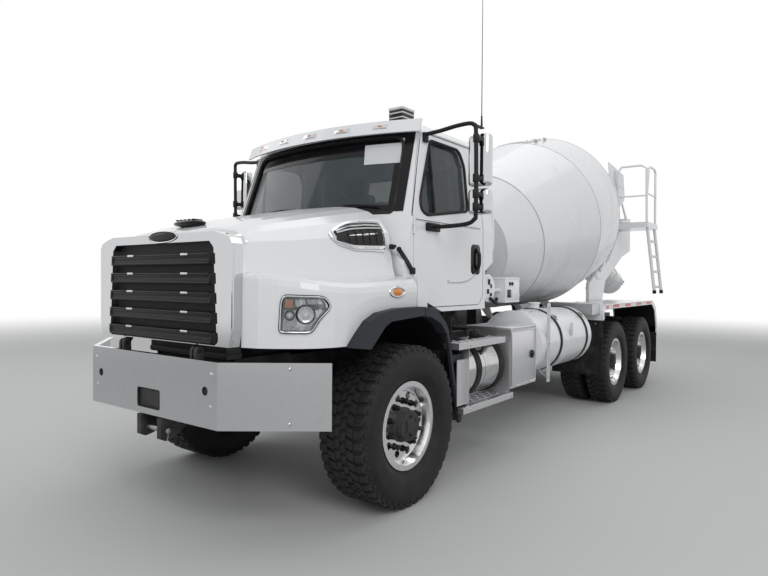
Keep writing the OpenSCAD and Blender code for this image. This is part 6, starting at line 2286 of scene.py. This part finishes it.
    def ladder(self) -> None:
        """Treads and feet of the ladder, and the platform's grating and middle rails."""
        top, foot, side = Vector((1.09, 6.69, 2.47)), Vector((1.195, 6.76, 1.4)), Vector((0, 0.46, 0))
        form = Form()
        for i in range(1, 5):
            p = top + (foot - top) * i / 4.4
            form.block(p + Vector((-0.016, 0.02, 0.008)), p + Vector((0.016, 0.44, 0.018)), 0.002)
            for k in range(10):
                q = p + Vector((0, 0.05 + k * 0.04, 0.018))
                form.block(q - Vector((0.013, 0.006, 0.001)), q + Vector((0.013, 0.006, 0.004)))
        form.piece("ladder_treads", Shop.BARE)
        grate = Form()
        for k in range(22):
            grate.block((0.606, 6.61 + k * 0.0285, 2.5195), (1.114, 6.6155 + k * 0.0285, 2.527))
        for x in (0.602, 0.86, 1.112):
            grate.block((x - 0.004, 6.604, 2.5195), (x + 0.004, 7.236, 2.529), 0.001)
        grate.piece("platform_grating", Shop.BARE)
        mid = Form().pipe([(0.65, 6.64, 2.95), (1.085, 6.65, 2.95)], 0.013, 10)
        mid.pipe([(1.093, 6.7, 2.98), (1.095, 7.17, 2.98)], 0.013, 10)
        mid.piece("middle_rails", Shop.WHITE)
        feet = Form()
        for m in (0, 1):
            p = foot + side * m
            feet.rod(p - Vector((0, 0, 0.006)), p + Vector((-0.004, -0.002, 0.05)), 0.028, bevel=0.004)
        feet.piece("ladder_feet", Shop.RUBBER)

    def chutes(self) -> None:
        """Rims, straps, handle, pins and worn face of the chutes, and the collars of the swivel's post."""
        slope = turned(-14, "X")
        root = Vector((0, 7.45, 1.55))

        def on(x: float, y: float, z: float) -> Vector:
            """A place in the chute's own frame."""
            return root + slope @ Vector((x, y, z))

        def arc(y: float, r: float, z: float, start: float) -> list[Vector]:
            """Half a circle across the trough, from an angle on."""
            return [on(r * cos(t), y, z + r * sin(t)) for t in (start + pi * k / 24 for k in range(25))]

        rim, fold = Form(), Form()
        for s in (1, -1):
            rim.pipe([on(s * 0.238, -0.198, 0.275), on(s * 0.238, 0.84, 0.275)], 0.009, 8)
            fold.pipe([on(s * 0.224, 0.935, 0.29), on(s * 0.224, 0.09, 0.29)], 0.008, 8)
        for y in (0.1, 0.45, 0.78):
            rim.pipe(arc(y, 0.2435, 0.275, pi), 0.008, 8)
        rim.pipe(arc(0.945, 0.236, 0.275, pi), 0.007, 8)
        for y in (0.25, 0.6):
            fold.pipe(arc(y, 0.2315, 0.29, 0.0), 0.007, 8)
        handle = [on(-0.08, 0.72, 0.515), on(-0.08, 0.72, 0.55), on(0.08, 0.72, 0.55), on(0.08, 0.72, 0.515)]
        fold.pipe(smooth_line(handle, 3), 0.009, 8)
        rim.piece("chute_rims", Shop.DRUM, "chute_main")
        fold.piece("fold_chute_rims", Shop.DRUM, "chute_fold")

        def liner(s: float, t: float) -> Vector:
            """A place on the worn face inside the trough."""
            a = pi * (1.12 + 0.76 * t)
            return on(0.2312 * cos(a), -0.19 + 1.125 * s, 0.275 + 0.2312 * sin(a))
        Form().patch(12, 20, liner, 0.0008).piece("chute_liner", Shop.STEEL, "chute_main")
        nuts = Form()
        for s in (1, -1):
            nuts.rod(on(s * 0.25, 0.982, 0.28), on(s * 0.262, 0.982, 0.28), 0.019, sides=6, bevel=0.001)
        nuts.piece("fold_pin_nuts", Shop.STEEL, "chute_fold")
        post = Form().band((1.105, 1.118), (0.0605, 0.084), (0, 7.39, 0), (0, 0, 1))
        post.band((1.4, 1.42), (0.0605, 0.075), (0, 7.39, 0), (0, 0, 1))
        post.pipe([(0.0, 7.33, 1.3), (0.0, 7.2, 1.32)], 0.014, 10).ball((0.0, 7.195, 1.321), 0.022)
        post.piece("swivel_collars", Shop.STEEL, "chute_swivel")

    def lamps(self) -> None:
        """Rear lamps, the blank plate, the fenders' fittings, the flaps' bolts and the deck's tops, with
        near-black sheets under the fenders that are partly their dark undersides and partly painted shade.
        """
        red, clear = Form(), Form()
        for s in (1, -1):
            for k, x in enumerate((0.605, 0.69, 0.775)):
                target = clear if k == 0 else red
                target.rod((s * x, 7.074, 0.915), (s * x, 7.084, 0.915), 0.036, 0.032, 28, 0.003)
        red.piece("rear_lamp_lenses", Shop.RED)
        clear.piece("reversing_lenses", Shop.CLEAR)
        rims = Form()
        for s in (1, -1):
            for x in (0.605, 0.69, 0.775):
                rims.pipe(oval((s * x, 7.077, 0.915), (0.038, 0, 0), (0, 0, 0.038), 28), 0.004, 8, True)
        rims.piece("rear_lamp_rims", Shop.RUBBER)
        plate = Form().block((0.2, 7.0325, 0.865), (0.47, 7.036, 0.965), 0.001)
        plate.bolts([(0.225, 7.036, 0.95), (0.445, 7.036, 0.95)], (0, 1, 0), 0.007, 0.004)
        plate.piece("blank_plate", Shop.CARD)
        tape = Form().block((1.2203, 4.16, 1.246), (1.2212, 6.5, 1.282))
        tape.mirrored().piece("fender_tape", Shop.TAPE)
        amber = Form().ball((1.2215, 4.24, 1.262), 0.036, (0.35, 1.2, 0.55), 12)
        amber.mirrored().piece("fender_lamps", Shop.AMBER)
        beads = Form()
        outline = [(4.066, 1.105), (4.066, 1.214), (4.126, 1.288), (6.524, 1.288), (6.723, 1.179),
                   (6.833, 0.899), (6.833, 0.645)]
        beads.pipe([(1.2165, y, z) for y, z in outline], 0.007, 8)
        beads.bolts([(1.2205, 4.09, 1.13), (1.2205, 6.8, 0.7), (1.2205, 6.8, 0.86)], (1, 0, 0), 0.01, 0.007)
        beads.mirrored().piece("fender_beads", Shop.WHITE)
        flap = Form()
        for y in (6.8265, 4.0565):
            top = 0.6 if y > 6 else 1.06
            for k in range(4):
                flap.rod((0.68 + k * 0.15, y, top), (0.68 + k * 0.15, y + 0.012 if y > 6 else y - 0.006, top),
                         0.014, sides=12)
        flap.mirrored().piece("flap_bolts", Shop.STEEL)
        # painted shade: a near-black sheet under each rear fender, partly its dark underside and partly the
        # shade that falls there
        arch = [(4.109, 1.1), (4.109, 1.182), (4.157, 1.231), (6.513, 1.231), (6.681, 1.128), (6.781, 0.878),
                (6.781, 0.785)]
        under = Form().patch(2, len(arch) - 1, lambda s, t: (0.602 + 0.608 * s, *along(arch, t)), 0.003)
        under.mirrored().piece("rear_arch_liners", Shop.LINER)
        deck = Form().block((0.598, 3.757, 1.308), (1.184, 4.063, 1.3145), 0.002)
        deck.bolts([(x, y, 1.3145) for x in (0.64, 0.9, 1.15) for y in (3.79, 4.03)], (0, 0, 1), 0.01, 0.006)
        deck.mirrored().piece("deck_tops", Shop.PLATE)

    def build(self) -> None:
        """Makes every piece of the mixer and the rear."""
        self.drum()
        self.drive()
        self.rollers()
        self.hopper()
        self.ladder()
        self.chutes()
        self.lamps()


def main() -> None:
    """Builds the studio, dresses the CAD nodes and adds each sub-assembly in order."""
    logging.basicConfig(level=logging.INFO, format="%(name)s: %(message)s")
    Studio().build()
    Dressing().build()
    for part in (Wheels(), Front(HoodLine()), Cab(), Flanks(), Underside(), Mixer()):
        part.build()


if __name__ == "__main__":
    main()
